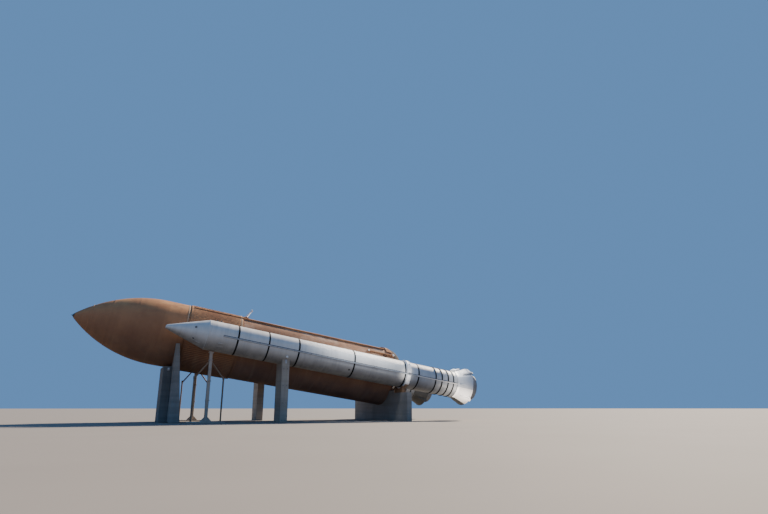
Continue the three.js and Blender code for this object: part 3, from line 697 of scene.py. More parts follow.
def make_cable_tray():
    tray = Piece("cable_tray_run", STACK, FOAM, FOAM_RIBBED)
    ends = even(6.9, 20.94, 12)
    turn = on_skin(0, TRAY_ANGLE, TANK_R)
    for start, end in zip(ends, ends[1:]):
        low, high = start + 0.006, end - 0.006
        base = RIB_PROUD if high < AFT + 0.3 else 0
        tray.box((low, high), 0.045, (-0.02, 0.104), 0, 0.01, turn)
        tray.box((low + 0.02, high - 0.02), 0.036, (0.1, 0.11), 1, 0.004, turn)
        for x in (low + 0.16, high - 0.16):
            tray.box(about(x, 0.035), 0.085, (base - 0.03, base + 0.02), 1, 0.008, turn)
    # Two thin pressure lines beside the tray, on small saddles
    ribs, skin = TANK_R + RIB_PROUD + 0.022, TANK_R + 0.024
    for offset in (2.6, 3.6):
        bends = ((ends[0] + 0.05, ribs), (10.12, ribs), (10.36, skin), (ends[-1] - 0.1, skin))
        tray.tube([around(x, TRAY_ANGLE + offset, radius) for x, radius in bends], 0.013, 0, 12)
    for i in range(24):
        x = ends[0] + 0.3 + i * 0.58
        base = RIB_PROUD if x < AFT else 0
        tray.box(about(x, 0.03), 0.062, (base - 0.02, base + 0.045), 1, 0.01, on_skin(0, TRAY_ANGLE + 3.1, TANK_R))
    tray.done("dark_foam", "cable_tray")


def make_bipod():
    foot_x, spread = 10.42, 15
    apex = Vector((10.8, 0, TANK_R + 0.62))
    bipod = Piece("bipod_struts", STACK, FRESH, DARK, FOAM)
    for side in ENDS:
        turn, length = along(around(foot_x, side * spread, TANK_R - 0.02), apex)
        bipod.turned([
            (0, 0), (0, 0.075), (0.13, 0.075), (0.16, 0.052), (0.2, 0.048), (length - 0.16, 0.048),
            (length - 0.13, 0.06), (length - 0.05, 0.06), (length - 0.05, 0),
        ], 0, 28, turn)
        foot = on_skin(foot_x, side * spread, TANK_R)
        bipod.prism(ramp(0.085, -0.3, -0.06, 0.1, 0.22), 0.14, 2, foot)
        bipod.bolt_grid(foot, (0.02,), (0.09, -0.09), 0.085, 0.016, 0.012, 1)
    head = Matrix.Translation(apex)
    half = ((0.06, 0), (0.06, 0.06), (0.052, 0.085), (0.02, 0.085), (0.016, 0.074))
    bipod.turned(mirrored(0, half), 0, 36, head)
    bipod.hoop(0.066, 0, 0.03, 1, 24, head)
    bipod.done("white_fitting", "forward_bipod")


RAIL_ANGLE = 49


def make_aft_fittings():
    fore, aft, box_x = 19.45, 21.485, 20.8
    arch = [(0.055 * math.cos(a), 0.085 + 0.055 * math.sin(a)) for a in even(math.pi, 0, 8)]
    for name, side in SIDES:
        rail = Piece(f"aft_rail_run_{name}", STACK, FOAM, FRESH, FOAM_DARK, BARE)
        turn = on_skin(0, side * RAIL_ANGLE, TANK_R)
        rail.prism([(-0.055, -0.02), *arch, (0.055, -0.02)], (fore, aft), 0, turn @ ALONG_X)
        for x in (fore, aft):
            foot = turn @ at(x, 0, 0)
            rail.box(0.095, 0.095, (-0.03, 0.1), 0, 0.02, foot)
            # A white ball fitting on its foot
            rail.turned([(0.09, 0), (0.09, 0.072), (0.115, 0.08), (0.165, 0.074), (0.186, 0.048), (0.19, 0)], 1, 28,
                        foot @ STAND)
            rail.bolt_grid(foot, (-0.07, 0.07), (-0.07, 0.07), 0.1, 0.01, 0.008, 3)
        rail.box(about(box_x, 0.13), sorted((side * 0.02, side * 0.19)), (-0.02, 0.108), 2, 0.012, turn)
        for k in range(9):
            rail.box(about(fore + 0.28 + k * 0.2, 0.012), 0.062, (0.02, 0.128), 2, 0.005, turn)
        rail.done("foam", f"aft_rail_{name}")

    beam = Piece("crossbeam_fairing", STACK, FOAM, FOAM_DARK, FOAM_PALE, BARE)
    fore, aft, slope, crest, floor = 20.99, 21.485, 0.09, TANK_R + 0.075, 1.7
    half = math.degrees(math.acos(floor / crest))
    inner = TANK_R - 0.004
    rows = [(0, inner), (0.02, TANK_R + 0.03), (slope, crest)]
    beam.turned([(fore + x, radius) for x, radius in rows] + [(aft - x, radius) for x, radius in reversed(rows)]
                + [(fore, inner)], 0, 64, sweep=(-half, half))
    for degrees in (-30, -15, 0, 15, 30):
        beam.box((fore + 0.12, aft - 0.12), 0.016, (-0.01, 0.006), 1, 0.004, on_skin(0, degrees, crest))
    for side, x in product(ENDS, (fore + 0.18, aft - 0.18)):
        beam.boss(on_skin(x, side * 22, crest), 2, 28, (-0.01, 0.07), (0.008, 0.062))
        beam.bolt(on_skin(x, side * 22, crest + 0.008), 0.02, 0.005, 3)
    beam.done("foam", "aft_crossbeam")


# Boosters

BAND = 0.06
BAND_PAINT = 0.026  # black paint beyond each edge of a joint's band
STIFFENERS = (18.6, 19.125, 19.65, 20.105)
AFT_BAND = 17.18
RING_X = 16.375
RING_HALF = 0.15
RING_OUTER = CASE_R + 0.1
PORT_R = 0.07

# The aft skirt's collar and cone
COLLAR = 20.45
COLLAR_R = 0.966
CONE = 20.64
SKIRT_AFT = 21.55
SKIRT_R = 1.345
SKIRT_WALL = 0.045
SKIRT_BORE = CASE_R + 0.0008
SKIRT_SLOPE = (SKIRT_R - COLLAR_R) / (SKIRT_AFT - CONE)


def black(rows):
    """Rows for turned, from rows that stand off the case: all but the last in black."""
    return [(x, CASE_R + rise, *(() if k == len(rows) else (1,))) for k, (x, rise) in enumerate(rows, 1)]


def joint_rows(x):
    """A joint's band, from its station aft, in black with a little paint beyond it."""
    band = ((0, 0.008), (0.022, 0.008), (0.026, 0.004), (0.034, 0.004), (0.038, 0.008), (BAND, 0.008), (BAND, 0))
    return black([(x + way, rise) for way, rise in (*band, (BAND + BAND_PAINT, 0))])


def ring_rows(x, half, proud):
    return black(mirrored(x, ((half + BAND_PAINT, 0), (half, 0), (half, proud))))


def stiffener_rows(x):
    """A T-shaped ring: its web and its outer flange."""
    half = ((0.045, 0), (0.012, 0), (0.009, 0.004), (0.009, 0.024), (0.03, 0.024), (0.03, 0.036))
    return black(mirrored(x, half))


def land_rows(x, half=0.08):
    """A low white land over a joint made at the factory."""
    return step_rows(x - half, x + half, CASE_R, 0.003, 0.01)


def cone_radius(x):
    return COLLAR_R + SKIRT_SLOPE * (x - CONE)


def from_outboard(degrees, side):
    """An angle round the booster as degrees down from its outboard side."""
    return (degrees * side + 90) % 360 - 180


def ball(radius, degrees):
    """A station and radius on a sphere about the nozzle's pivot, from its fore end."""
    angle = math.radians(degrees)
    return PIVOT - radius * math.cos(angle), radius * math.sin(angle)


def make_booster_nose(name, side):
    cap = Piece(f"nose_cone_{name}", booster_frame(side), WHITE)
    slope = (CAP_R - 0.13) / (CASE_CAP - 0.06)
    rim = CAP_R - slope * 0.03
    rows = [(0, 0), (0.002, 0.03), (0.009, 0.058), (0.021, 0.086), (0.038, 0.109), (0.062, 0.128)]
    rows += [(x, 0.13 + slope * (x - 0.062)) for x in even(0.062, 0.905, 12)[1:]]
    rows += [(0.912, rim - 0.006), (0.92, rim - 0.006), (0.922, rim + 0.001), (CASE_CAP - GAP, CAP_R)]
    cap.turned([*rows, (CASE_CAP - GAP, 0)], 0, 120)
    cap.bolt_ring(24, 0.936, CAP_R - 0.004, 0.006, 0.005)
    cap.done("white_paint", f"nose_cap_{name}")


def make_frustum(name, side):
    cone = Piece(f"frustum_cone_{name}", booster_frame(side), WHITE, DARK, BARE)
    slope = (CASE_R - CAP_R) / (FRUSTUM_END - CASE_CAP)

    def wall(x, depth=0):
        return x, CAP_R + slope * (x - CASE_CAP) - depth

    def on_wall(x, degrees):
        """A place on the cone, square to it."""
        return on_skin(x, degrees, wall(x)[1]) @ Matrix.Rotation(-math.atan(slope), 4, "Y")

    seam = CASE_CAP + 0.05
    rows = [(CASE_CAP, 0), (CASE_CAP, CAP_R), wall(seam), wall(seam + 0.006, 0.003), wall(seam + 0.014, 0.003)]
    rows += [wall(x) for x in even(CASE_CAP + 0.07, CASE_CAP + 1.43, 14)]
    cone.turned([
        *rows, wall(2.395), (2.4, CASE_R - 0.022), (2.412, CASE_R - 0.022), (2.416, CASE_R - 0.012),
        (2.44, CASE_R), (FRUSTUM_END - GAP, CASE_R), (FRUSTUM_END - GAP, 0),
    ])
    for up in (21, -41):
        # A dark round port with its rim
        port = on_wall(1.675, side * (90 - up))
        cone.boss(port, 0, 40, (-0.02, PORT_R + 0.014), (0.004, PORT_R + 0.014), (0.008, PORT_R + 0.008),
                  (0.008, PORT_R), (0.002, PORT_R - 0.004, 1))
        cone.bolts([port @ Matrix.Rotation(k * math.pi / 4, 4, "Z") @ at(PORT_R + 0.034, 0, 0) for k in range(8)],
                   0.006, 0.004)
    # Hatches on the inboard side
    for degrees in (-60, -120, 150):
        hatch = on_wall(1.95, side * degrees)
        cone.box(0.16, 0.11, (-0.02, 0.005), 0, 0.004, hatch)
        cone.bolt_grid(hatch, (-0.14, 0, 0.14), (-0.09, 0.09), 0.005, 0.006, 0.003, 2)
    cone.done("white_paint", f"frustum_{name}")


def make_forward_skirt(name, side):
    skirt = Piece(f"fore_skirt_{name}", booster_frame(side), WHITE, BLACK, BARE)
    start, end = FRUSTUM_END, SKIRT_END - GAP
    skirt.turned([
        (start, 0), (start, CASE_R), *step_rows(start + 0.03, start + 0.05, CASE_R, -0.005, 0.004),
        *land_rows(2.9, 0.045), *land_rows(3.62, 0.045), (end - BAND_PAINT, CASE_R, 1), (end, CASE_R), (end, 0),
    ])
    door = on_skin(3.3, side * 128, CASE_R)
    skirt.box(0.17, 0.13, (-0.03, 0.008), 0, 0.006, door)
    skirt.bolt_grid(door, (-0.15, -0.05, 0.05, 0.15), (-0.11, 0.11), 0.008, 0.007, 0.004, 2)
    skirt.bolt_ring(60, start + 0.018, CASE_R, 0.006, 0.003)
    skirt.done("white_paint", f"forward_skirt_{name}")


def make_segments(name, side):
    plate = AFT_BAND + 0.1
    bands = (
        ring_rows(6.225, 0.025, 0.008), land_rows(10.17), land_rows(14.1),
        ring_rows(AFT_BAND, 0.03, 0.01) + step_rows(plate, plate + 0.072, CASE_R, 0.006, 0.002)
        + [row for x in STIFFENERS for row in stiffener_rows(x)],
    )
    for k, (start, end, band) in enumerate(zip(JOINTS, (*JOINTS[1:], CASE_END), bands), 1):
        aft = k == len(JOINTS)
        # The aft segment takes the grey-white paint as painted shade
        segment = Piece(f"case_segment_{k}_{name}", booster_frame(side), GREY_WHITE_AND_SHADE if aft else WHITE, BLACK, DARK)
        rows = [(start, 0, 1), *joint_rows(start), *band]
        if aft:
            # The aft dome, its boss and the round socket for the bearing
            face, socket = 20.98, 0.415
            rows += [(end, CASE_R), (end + 0.05, CASE_R - 0.012), (end + 0.16, 0.83), (20.86, 0.68), (20.93, 0.56),
                     (20.95, 0.5, 2), (face, 0.5, 2)]
            lip = math.degrees(math.acos((PIVOT - face) / socket))
            rows += [(*ball(socket, degrees), 2) for degrees in even(lip, 0, 12)]
        else:
            rows += [(end - GAP - BAND_PAINT, CASE_R, 1), (end - GAP, CASE_R), (end - GAP, 0)]
        segment.turned(rows)
        segment.bolt_ring(120, start + 0.03, CASE_R + 0.003, 0.0075, 0.005, 1)
        if k == 2:
            # A small round pressure port below the tunnel
            segment.boss(on_skin(11.9, side * 123, CASE_R), 1, 32, (-0.02, 0.062), (0.006, 0.062), (0.01, 0.054),
                         (0.01, 0.04), (0.004, 0.036, 2))
        if aft:
            # Splice plates across the stiffeners, and the bolts of the band before them
            for x, i in product(STIFFENERS, range(12)):
                segment.box(0.034, 0.055, (0.02, 0.0395), 1, 0.004, on_skin(x, 15 + i * 30, CASE_R))
            segment.bolt_ring(60, AFT_BAND, CASE_R + 0.01, 0.008, 0.005, 1)
        segment.done("white_paint", f"motor_segment_{k}_{name}")


def make_tunnel(name, side):
    tunnel = Piece(f"tunnel_covers_{name}", booster_frame(side), GREY_WHITE_AND_SHADE, BLACK, BARE, DARK, FRESH)
    top = 0.048
    turn = on_skin(0, side * 90, CASE_R)
    ends = even(3.35, 20.449, 15)

    def cover(outline, start, end, slot, share=(1, 1)):
        """Part of the tunnel, its outline turned the right way up for the side."""
        outline = [(-side * y * share[0], z * share[1]) for y, z in outline]
        tunnel.prism(outline, (start, end), slot, turn @ ALONG_X)

    outline = ((-0.012, -0.012), (-0.012, top), (0.042, top), (0.055, 0.034), (0.055, -0.012))
    # A dark strip along the cover's edge: painted shade beside the cover
    shade_strip = ((-0.055, -0.012), (-0.055, 0.024), (-0.046, 0.034), (-0.012, 0.034), (-0.012, -0.012))
    cover(shade_strip, ends[0], ends[-1], 3)
    cover(outline, ends[0], ends[-1], 1, (0.96, 0.94))
    for start, end in zip(ends, ends[1:]):
        low, high = start + 0.004, end - 0.004
        cover(outline, low, high, 0 if low < RING_X else 4)
        tunnel.bolt_grid(turn, even(low, high, 10)[1::2], (side * -0.002, side * -0.032), top, 0.006, 0.0035, 2)
        tunnel.box((high - 0.03, high + 0.038), 0.062, (-0.01, 0.03), 3, 0.006, turn)
    tunnel.done("grey_paint", f"systems_tunnel_{name}")


def make_attach_ring(name, side):
    # The ring's body is in the bright white paint, partly painted light
    ring = Piece(f"attach_ring_band_{name}", booster_frame(side), BRIGHT_WHITE_AND_LIGHT, DARK, BARE, TAN)
    fore, aft = about(RING_X, RING_HALF)
    web, inner = RING_OUTER - 0.016, CASE_R + 0.0006
    half = ((0, inner), (0, RING_OUTER - 0.03), (0.03, RING_OUTER), (0.07, RING_OUTER), (0.074, web))
    slot = math.degrees(0.057 / CASE_R)
    outboard = side * 90
    ring.turned([*mirrored(RING_X, [(RING_HALF - x, radius) for x, radius in half]), (fore, inner)], 0, 176,
                sweep=(outboard + slot, outboard + 360 - slot))
    # Bolts along both edges but at the tunnel and opposite it, and ribs between the edges
    for i in [*range(1, 36), *range(37, 72)]:
        turn = on_skin(0, outboard + i * 5, 0)
        ring.bolt_grid(turn, (fore + 0.05, aft - 0.05), (0,), RING_OUTER, 0.01, 0.006, 2)
        if i % 6 == 3:
            ring.box((fore + 0.07, aft - 0.07), 0.012, (web - 0.01, RING_OUTER - 0.002), 0, 0.003, turn)
    # Cable box and its cover on the ring's lower side, and the end plates at the tunnel
    cover = on_skin(RING_X, side * 128, RING_OUTER)
    ring.box((-0.1, 0.15), 0.1, 0.03, 0, 0.012, cover)
    ring.box((-0.06, 0.12), 0.07, (0.022, 0.06), 0, 0.008, cover)
    ring.box(0.13, 0.15, (-0.03, 0.022), 3, 0.012, on_skin(RING_X, side * 143, RING_OUTER))
    for edge in ENDS:
        ring.box((fore + 0.01, aft - 0.01), 0.012, (inner + 0.002, RING_OUTER - 0.012), 1, 0.003,
                 on_skin(0, outboard + edge * (slot + 0.7), 0))
    ring.done("white_fitting", f"attach_ring_{name}")


def make_aft_skirt(name, side):
    skirt = Piece(f"flared_skirt_{name}", booster_frame(side), WHITE, BRIGHT_WHITE_AND_LIGHT, BLUE_GREY_SHADE, BARE, DARK, UNDERSIDE_SHADE)
    aft, rim = SKIRT_AFT, SKIRT_R

    def pick(x, degrees, slot):
        """Bright paint, partly painted light, over the top and low on the outboard side; a blue-grey band of painted
        shade round the outboard side between them; and dark painted shade on the underside and inboard.
        """
        if x < 20.46 or slot:
            return slot
        down = from_outboard(degrees, side)
        if down < -150 or down >= 72:
            return 5
        return 2 if -34 < down <= 12 else 1

    skirt.turned([
        (COLLAR, SKIRT_BORE), (COLLAR, COLLAR_R), *step_rows(COLLAR + 0.02, COLLAR + 0.054, COLLAR_R, -0.004, 0.004),
        (CONE - 0.02, COLLAR_R), *((x, cone_radius(x)) for x in even(CONE, CONE + 0.9, 12)[:-1]),
        (aft - 0.075, cone_radius(aft - 0.075)), (aft - 0.07, rim - 0.01), (aft - 0.012, rim), (aft, rim - 0.006, 4),
        (aft, rim - SKIRT_WALL, 4), (aft - 0.02, rim - SKIRT_WALL - 0.01, 4), (CONE + 0.04, SKIRT_BORE),
        (COLLAR, SKIRT_BORE),
    ], pick=pick)
    skirt.bolt_ring(90, COLLAR + 0.037, COLLAR_R - 0.002, 0.007, 0.006, 3)
    skirt.bolt_ring(90, CONE - 0.05, COLLAR_R, 0.007, 0.004, 3)
    # Inner ring frames, seen from behind
    for x, depth in ((21.4, 0.06), (20.95, 0.05)):
        wall = cone_radius(x) - SKIRT_WALL - 0.005
        skirt.hoop((x, x + 0.02), wall + 0.02, wall - depth, 0, 120)
    for degrees in (45, 135, 225, 315):
        # A forged hold-down post: tapering body, side flanges, foot and stud
        turn = on_skin(0, degrees, 0)
        down = from_outboard(degrees, side)
        # Posts low on the outboard side take the bright paint, partly painted light, and the low inboard post takes
        # the dark painted shade
        paint = 1 if 0 < down < 90 else 5 if down > 90 else 0
        start, flange = CONE + 0.26, CONE + 0.44
        skirt.prism([
            (start, cone_radius(start) + 0.036), (aft - 0.07, rim + 0.082), (aft + 0.058, rim + 0.082),
            (aft + 0.058, rim - 0.038), (aft - 0.03, rim - 0.038), (start + 0.04, cone_radius(start) + 0.001),
        ], 0.06, paint, turn)
        skirt.prism([
            (flange, cone_radius(flange) + 0.02), (aft - 0.06, rim + 0.04), (aft + 0.05, rim + 0.04),
            (aft + 0.05, rim - 0.036), (aft - 0.03, rim - 0.036), (flange + 0.06, cone_radius(flange)),
        ], 0.113, paint, turn)
        skirt.box((aft + 0.02, aft + 0.06), 0.113, (rim - 0.04, rim + 0.083), paint, 0.01, turn)
        skirt.bolt_grid(turn, (aft - 0.12,), (-0.075, 0.075), rim + 0.01, 0.014, 0.04, 3)
    for degrees in (-10, -24, -38, -52):
        # A separation motor: round case with a domed fore end, straps and a canted nozzle
        angle = side * degrees
        turn, length = along(*(around(x, angle, cone_radius(x) + 0.07) for x in (20.79, 21.2)))
        skirt.turned([
            (0, 0), (0.004, 0.03), (0.022, 0.062), (0.06, 0.082), (0.08, 0.085), (length - 0.1, 0.085),
            (length - 0.06, 0.076), (length - 0.055, 0.05), (length - 0.035, 0.05), (length, 0.08),
            (length, 0.07, 4), (length - 0.03, 0.036, 4), (length - 0.03, 0),
        ], 1, 36, turn)
        for x in (0.13, length - 0.16):
            skirt.hoop((x, x + 0.03), 0.08, 0.09, 3, 36, turn)
        skirt.box((20.82, 21.14), 0.055, (1.02, 1.13), 1, 0.01, on_skin(0, angle, 0))
        # Its fairing, tapering forward over the last ring. The motor and its fairing take the bright paint, partly
        # painted light.
        turn, length = along(around(20.43, angle, 1.075), around(20.83, angle, 1.15))
        skirt.turned([
            (0, 0), (0.004, 0.016), (0.03, 0.034), (0.1, 0.058), (0.2, 0.08), (0.3, 0.094),
            (length, 0.1), (length + 0.02, 0.096), (length + 0.07, 0.07), (length + 0.07, 0),
        ], 1, 36, turn)
    # Cable cover that carries the tunnel's line down the cone
    skirt.box((0, 0.34), 0.05, (-0.02, 0.03), 2, 0.008, on_skin(CONE + 0.02, side * 90, cone_radius(CONE + 0.02))
              @ Matrix.Rotation(-math.atan(SKIRT_SLOPE), 4, "Y"))
    skirt.done("white_paint", f"aft_skirt_{name}")


def make_curtain(name, side):
    """A quilted blanket between the skirt and the bell, sewn in rays and rings."""
    cloth = Piece(f"quilted_curtain_{name}", booster_frame(side), CLOTH)
    fore, thick, dish, inner = 21.26, 0.04, 0.03, 0.675
    stitches = 6  # facets from seam to seam
    columns, lines = 36 * stitches, 4 * stitches
    wall_start = CONE + 0.04
    rise = (SKIRT_R - SKIRT_WALL - SKIRT_BORE) / (SKIRT_AFT - wall_start)
    outer = SKIRT_BORE + rise * (fore - wall_start) - 0.004
    points = []
    for face, j, i in product(ENDS, range(lines + 1), range(columns)):
        share = j / lines
        pillow = abs(math.sin(math.pi * i / stitches) * math.sin(math.pi * j / stitches)) ** 0.5
        wave = 0.003 * noise.noise(Vector((i * 0.21, j * 0.35, side))) if 0 < j < lines else 0
        x = fore + thick / 2 + dish * share + face * (0.3 + 0.7 * pillow) * thick / 2 + wave
        points.append(around(x, 360 * i / columns, outer + (inner - outer) * share))
    layer = (lines + 1) * columns
    faces = quads(lines + 1, columns) + quads(lines + 1, columns, layer)
    for a in (0, lines * columns):
        rim = [(a + i, a + (i + 1) % columns) for i in range(columns)]
        faces += [[i, k, layer + k, layer + i] for i, k in rim]
    cloth.add(points, faces)
    piece = cloth.done("curtain", f"heat_curtain_{name}", sharp=80)


def make_bearing(name, side):
    bearing = Piece(f"bearing_shell_{name}", booster_frame(side), RUBBER, BARE)
    outer, inner, groove, rim = 0.4, 0.345, 0.003, 78
    angles = even(0, rim, 40)
    rows = [ball(outer - (groove if i % 4 == 2 else 0), degrees) for i, degrees in enumerate(angles)]
    rows += [(*ball(inner, degrees), 1 if degrees == rim else 0) for degrees in reversed(angles)]
    bearing.turned(rows, 0, 120)
    bearing.done("bearing_rubber", f"swivel_bearing_{name}", body=f"bearing_{name}")


BELL_OUTER = ((21.12, 0.385), (21.45, 0.61), (21.9, 0.85), (22.08, 0.928))
BELL_INNER = ((21.25, 0.22), (21.45, 0.47), (21.9, 0.795), (22.15, 0.905))


def curve_radius(table, x):
    """A smooth radius through the table's stations."""
    last = len(table) - 1
    k = next((k for k in range(last) if x <= table[k + 1][0]), last - 1)
    (x0, r0), (x1, r1) = table[k:k + 2]
    before, after = table[max(k - 1, 0)], table[min(k + 2, last)]
    t = (x - x0) / (x1 - x0)
    slope0 = (r1 - before[1]) / (x1 - before[0]) * (x1 - x0)
    slope1 = (after[1] - r0) / (after[0] - x0) * (x1 - x0)
    return (1 - t) ** 2 * ((1 + 2 * t) * r0 + t * slope0) + t ** 2 * ((3 - 2 * t) * r1 - (1 - t) * slope1)


def make_nozzle(name, side):
    bell = Piece(f"nozzle_bell_{name}", booster_frame(side), CARBON, LINER, BARE)
    lip, end, exit_r, throat = 22.08, 22.15, 0.95, 21.25
    rows = [(*ball(0.33, degrees), 2) for degrees in even(0, 90, 20)]
    rows += [(21.06, 0.345, 2), (21.12, 0.385, 2), (21.122, 0.4, 2), (21.15, 0.412)]
    stiff = (21.52, 21.7, 21.89)
    marks = [x for x in even(21.16, lip, 30) if all(abs(x - ring) > 0.03 for ring in stiff)]
    body = [(x, curve_radius(BELL_OUTER, x)) for x in marks]
    for ring in stiff:
        radius = curve_radius(BELL_OUTER, ring)
        body += [(x, curve_radius(BELL_OUTER, x)) for x in about(ring, 0.022)]
        body += [(ring - 0.0219, radius + 0.01), (ring + 0.0219, radius + 0.016)]
    rows += sorted(body)
    rows += [(lip + 0.002, exit_r - 0.006), (lip + 0.008, exit_r), (end - 0.008, exit_r), (end, exit_r - 0.006),
             (end, 0.911, 1), (end - 0.004, 0.905, 1)]
    rows += [(x, curve_radius(BELL_INNER, x), 1) for x in even(end - 0.01, throat, 36)[:-1]]
    bell.turned([*rows, (throat, 0.22, 1), (throat, 0)])
    bell.bolt_ring(60, 22.11, exit_r, 0.008, 0.005, 2)
    bell.done("nozzle_grey", f"nozzle_{name}", body=f"nozzle_{name}")


def make_links(name, side):
    """The forward thrust fitting and the two aft struts between tank and booster, in the stack's frame."""
    fitting = Piece(f"thrust_block_{name}", STACK, FOAM_DARK, BARE, FOAM)
    face = side * 2.169
    fitting.box(about(THRUST_X, 0.065), sorted((side * 2.165, side * 2.25)), 0.085, 0, 0.014)
    fitting.box(about(THRUST_X, 0.145), sorted((side * 2.15, face)), 0.165, 2, 0.008)
    outwards = Matrix.Rotation(-side * math.pi / 2, 4, "X")
    fitting.bolts([at(*place) @ outwards for place in product(about(THRUST_X, 0.11), (face,), (-0.13, 0, 0.13))],
                  0.013, 0.01, 1)
    fitting.done("white_fitting", f"forward_thrust_fitting_{name}")

    x = BOOSTER_TIP + RING_X - 0.08
    for place, on_tank, on_booster in (("upper", 62, 48), ("lower", 118, 132)):
        strut = Piece(f"{place}_link_{name}", STACK, FOAM, FRESH, BARE)
        end = around(x, -side * on_booster, RING_OUTER - 0.006) + Vector((0, side * BOOSTER_Y, 0))
        turn, length = along(around(x, side * on_tank, TANK_R - 0.01), end)
        strut.turned([(length * share, *rest) for share, *rest in (
            (0, 0), (0, 0.078), (0.18, 0.074), (0.24, 0.058, 1), (0.3, 0.054, 1), (0.7, 0.054, 1), (0.76, 0.06, 2),
            (0.9, 0.06, 2), (1, 0.056, 2), (1, 0),
        )], 0, 32, turn)
        for share in (0.27, 0.73):
            strut.hoop(about(length * share, 0.012), 0.05, 0.066, 2, 32, turn)
        strut.done("foam", f"{place}_strut_{name}")


# Piers

ROOT = Matrix.Identity(4)
POUR = 1.2  # height of one concrete pour
SKIN = 0.001  # how far the plugs' places stand off the concrete


def cut_level(work, level, normal=1, clear=False):
    everything = [*work.verts, *work.edges, *work.faces]
    return bmesh.ops.bisect_plane(work, geom=everything, plane_co=(0, 0, level), plane_no=(0, 0, normal),
                                  clear_outer=clear)


def welded(node):
    """The mesh of a CAD node, with its triangles joined at their corners."""
    work = bmesh.new()
    work.from_mesh(nodes[node].data)
    bmesh.ops.remove_doubles(work, verts=work.verts, dist=0.0002)
    return work


def meshed(name, work):
    data = bpy.data.meshes.new(name)
    work.to_mesh(data)
    work.free()
    return data


def refined(node, name, material, chamfer=0.025):
    """A fine copy of a concrete CAD node: edges chamfered, and a shallow groove at each pour."""
    work = welded(node)
    bmesh.ops.dissolve_limit(work, angle_limit=math.radians(0.5), verts=work.verts, edges=work.edges)
    edges = [e for e in work.edges if len(e.link_faces) == 2 and e.calc_face_angle() > math.radians(40)]
    bmesh.ops.bevel(work, geom=edges, offset=chamfer, segments=2, profile=0.5, affect="EDGES", clamp_overlap=True)
    width, depth = 0.016, 0.01
    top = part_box(node)[1][2]
    for z in (POUR * k for k in range(1, 10) if POUR * k < top - 0.25):
        for level in (z - width, z, z + width):
            cut_level(work, level)
        work.normal_update()
        moves = [(v, v.normal.copy()) for v in work.verts if abs(v.co.z - z) < 1e-5]
        for v, normal in moves:
            normal.z = 0
            if normal.length > 0.3:
                v.co -= normal.normalized() * depth
    dress(meshed(name, work), name, ROOT, (material,), (node,))


def tie_holes(piece, origin, across, size, inset):
    """Rows of mortar plugs over an upright concrete face, from its lower corner across and up."""
    across, up = Vector(across), Vector((0, 0, 1))
    turn = across.cross(up).to_track_quat("X", "Z").to_matrix().to_4x4()
    columns, rows = (even(inset, length - inset, max(1, round((length - 2 * inset) / POUR))) for length in size)
    for u, v in product(columns, rows):
        centre = Vector(origin) + across * u + up * v
        piece.turned([(-0.01, 0), (-0.01, 0.028), (0.003, 0.028), (0.005, 0.024), (0.002, 0.02), (0.002, 0)], 0, 20,
                     Matrix.Translation(centre) @ turn)


def make_piers():
    refined("front_pier", "front_saddle_wall", CONCRETE)
    refined("front_pedestal", "front_pedestal_block", CONCRETE_DARK)
    refined("aft_pier", "aft_saddle_wall", CONCRETE)
    for name, _ in SIDES:
        refined(f"middle_pier_{name}", f"column_block_{name}", CONCRETE_WARM_AND_BOUNCE, 0.022)

    front_low, front_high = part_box("front_pier")
    foot_low, foot_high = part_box("front_pedestal")
    marks = Piece("pier_plugs", ROOT, CONCRETE_DARK, BARE, FRESH)

    def end_plugs(low, high, height, inset):
        """Plugs on a pier's fore and aft faces."""
        size = (high[1] - low[1], height)
        tie_holes(marks, (high[0] + SKIN, low[1], 0), (0, 1, 0), size, inset)
        tie_holes(marks, (low[0] - SKIN, high[1], 0), (0, -1, 0), size, inset)

    for y in (front_low[1] + 0.3, front_high[1]):
        tie_holes(marks, (front_low[0] - SKIN, y, 0), (0, -1, 0), (0.3, front_high[2]), 0.15)
    end_plugs(*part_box("aft_pier"), 1.1, 0.3)
    for name, side in SIDES:
        low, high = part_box(f"middle_pier_{name}")
        near = low if side < 0 else high
        outer, top = near[1], high[2]
        tie_holes(marks, (near[0], outer + side * SKIN, 0), (-side, 0, 0), (high[0] - low[0], 3.4), 0.12)
        end_plugs(low, high, 2.8, 0.22)
        # A white stop against the booster's flank, on a bent strap from the column's outer edge
        middle = (low[0] + high[0]) / 2
        marks.box(about(middle, 0.06), sorted((outer - side * 0.02, outer + side * 0.016)),
                  (top - 0.26, top + 0.015), 1, 0.003)
        marks.rod((middle, outer + side * 0.004, top - 0.04), (middle, side * 4.02, 3.985), 0.022, 1, 16)
        marks.turned([(-0.085, 0), (-0.075, 0.045), (-0.045, 0.078), (0, 0.088), (0.045, 0.078), (0.075, 0.045),
                      (0.085, 0)], 2, 32, at(middle, side * 4.03, 4.005))
    # A small white lamp on the pedestal's near flank
    lamp_x, lamp_y, lamp_z = foot_high[0] - 0.2, foot_low[1], 3.22
    marks.box(about(lamp_x, 0.06), (lamp_y - 0.012, lamp_y + 0.01), about(lamp_z, 0.09), 1, 0.004)
    marks.turned([(-0.06, 0), (-0.05, 0.04), (-0.02, 0.052), (0.03, 0.052), (0.05, 0.046), (0.05, 0)], 2, 28,
                 at(lamp_x, lamp_y - 0.055, lamp_z))
    marks.done("concrete")


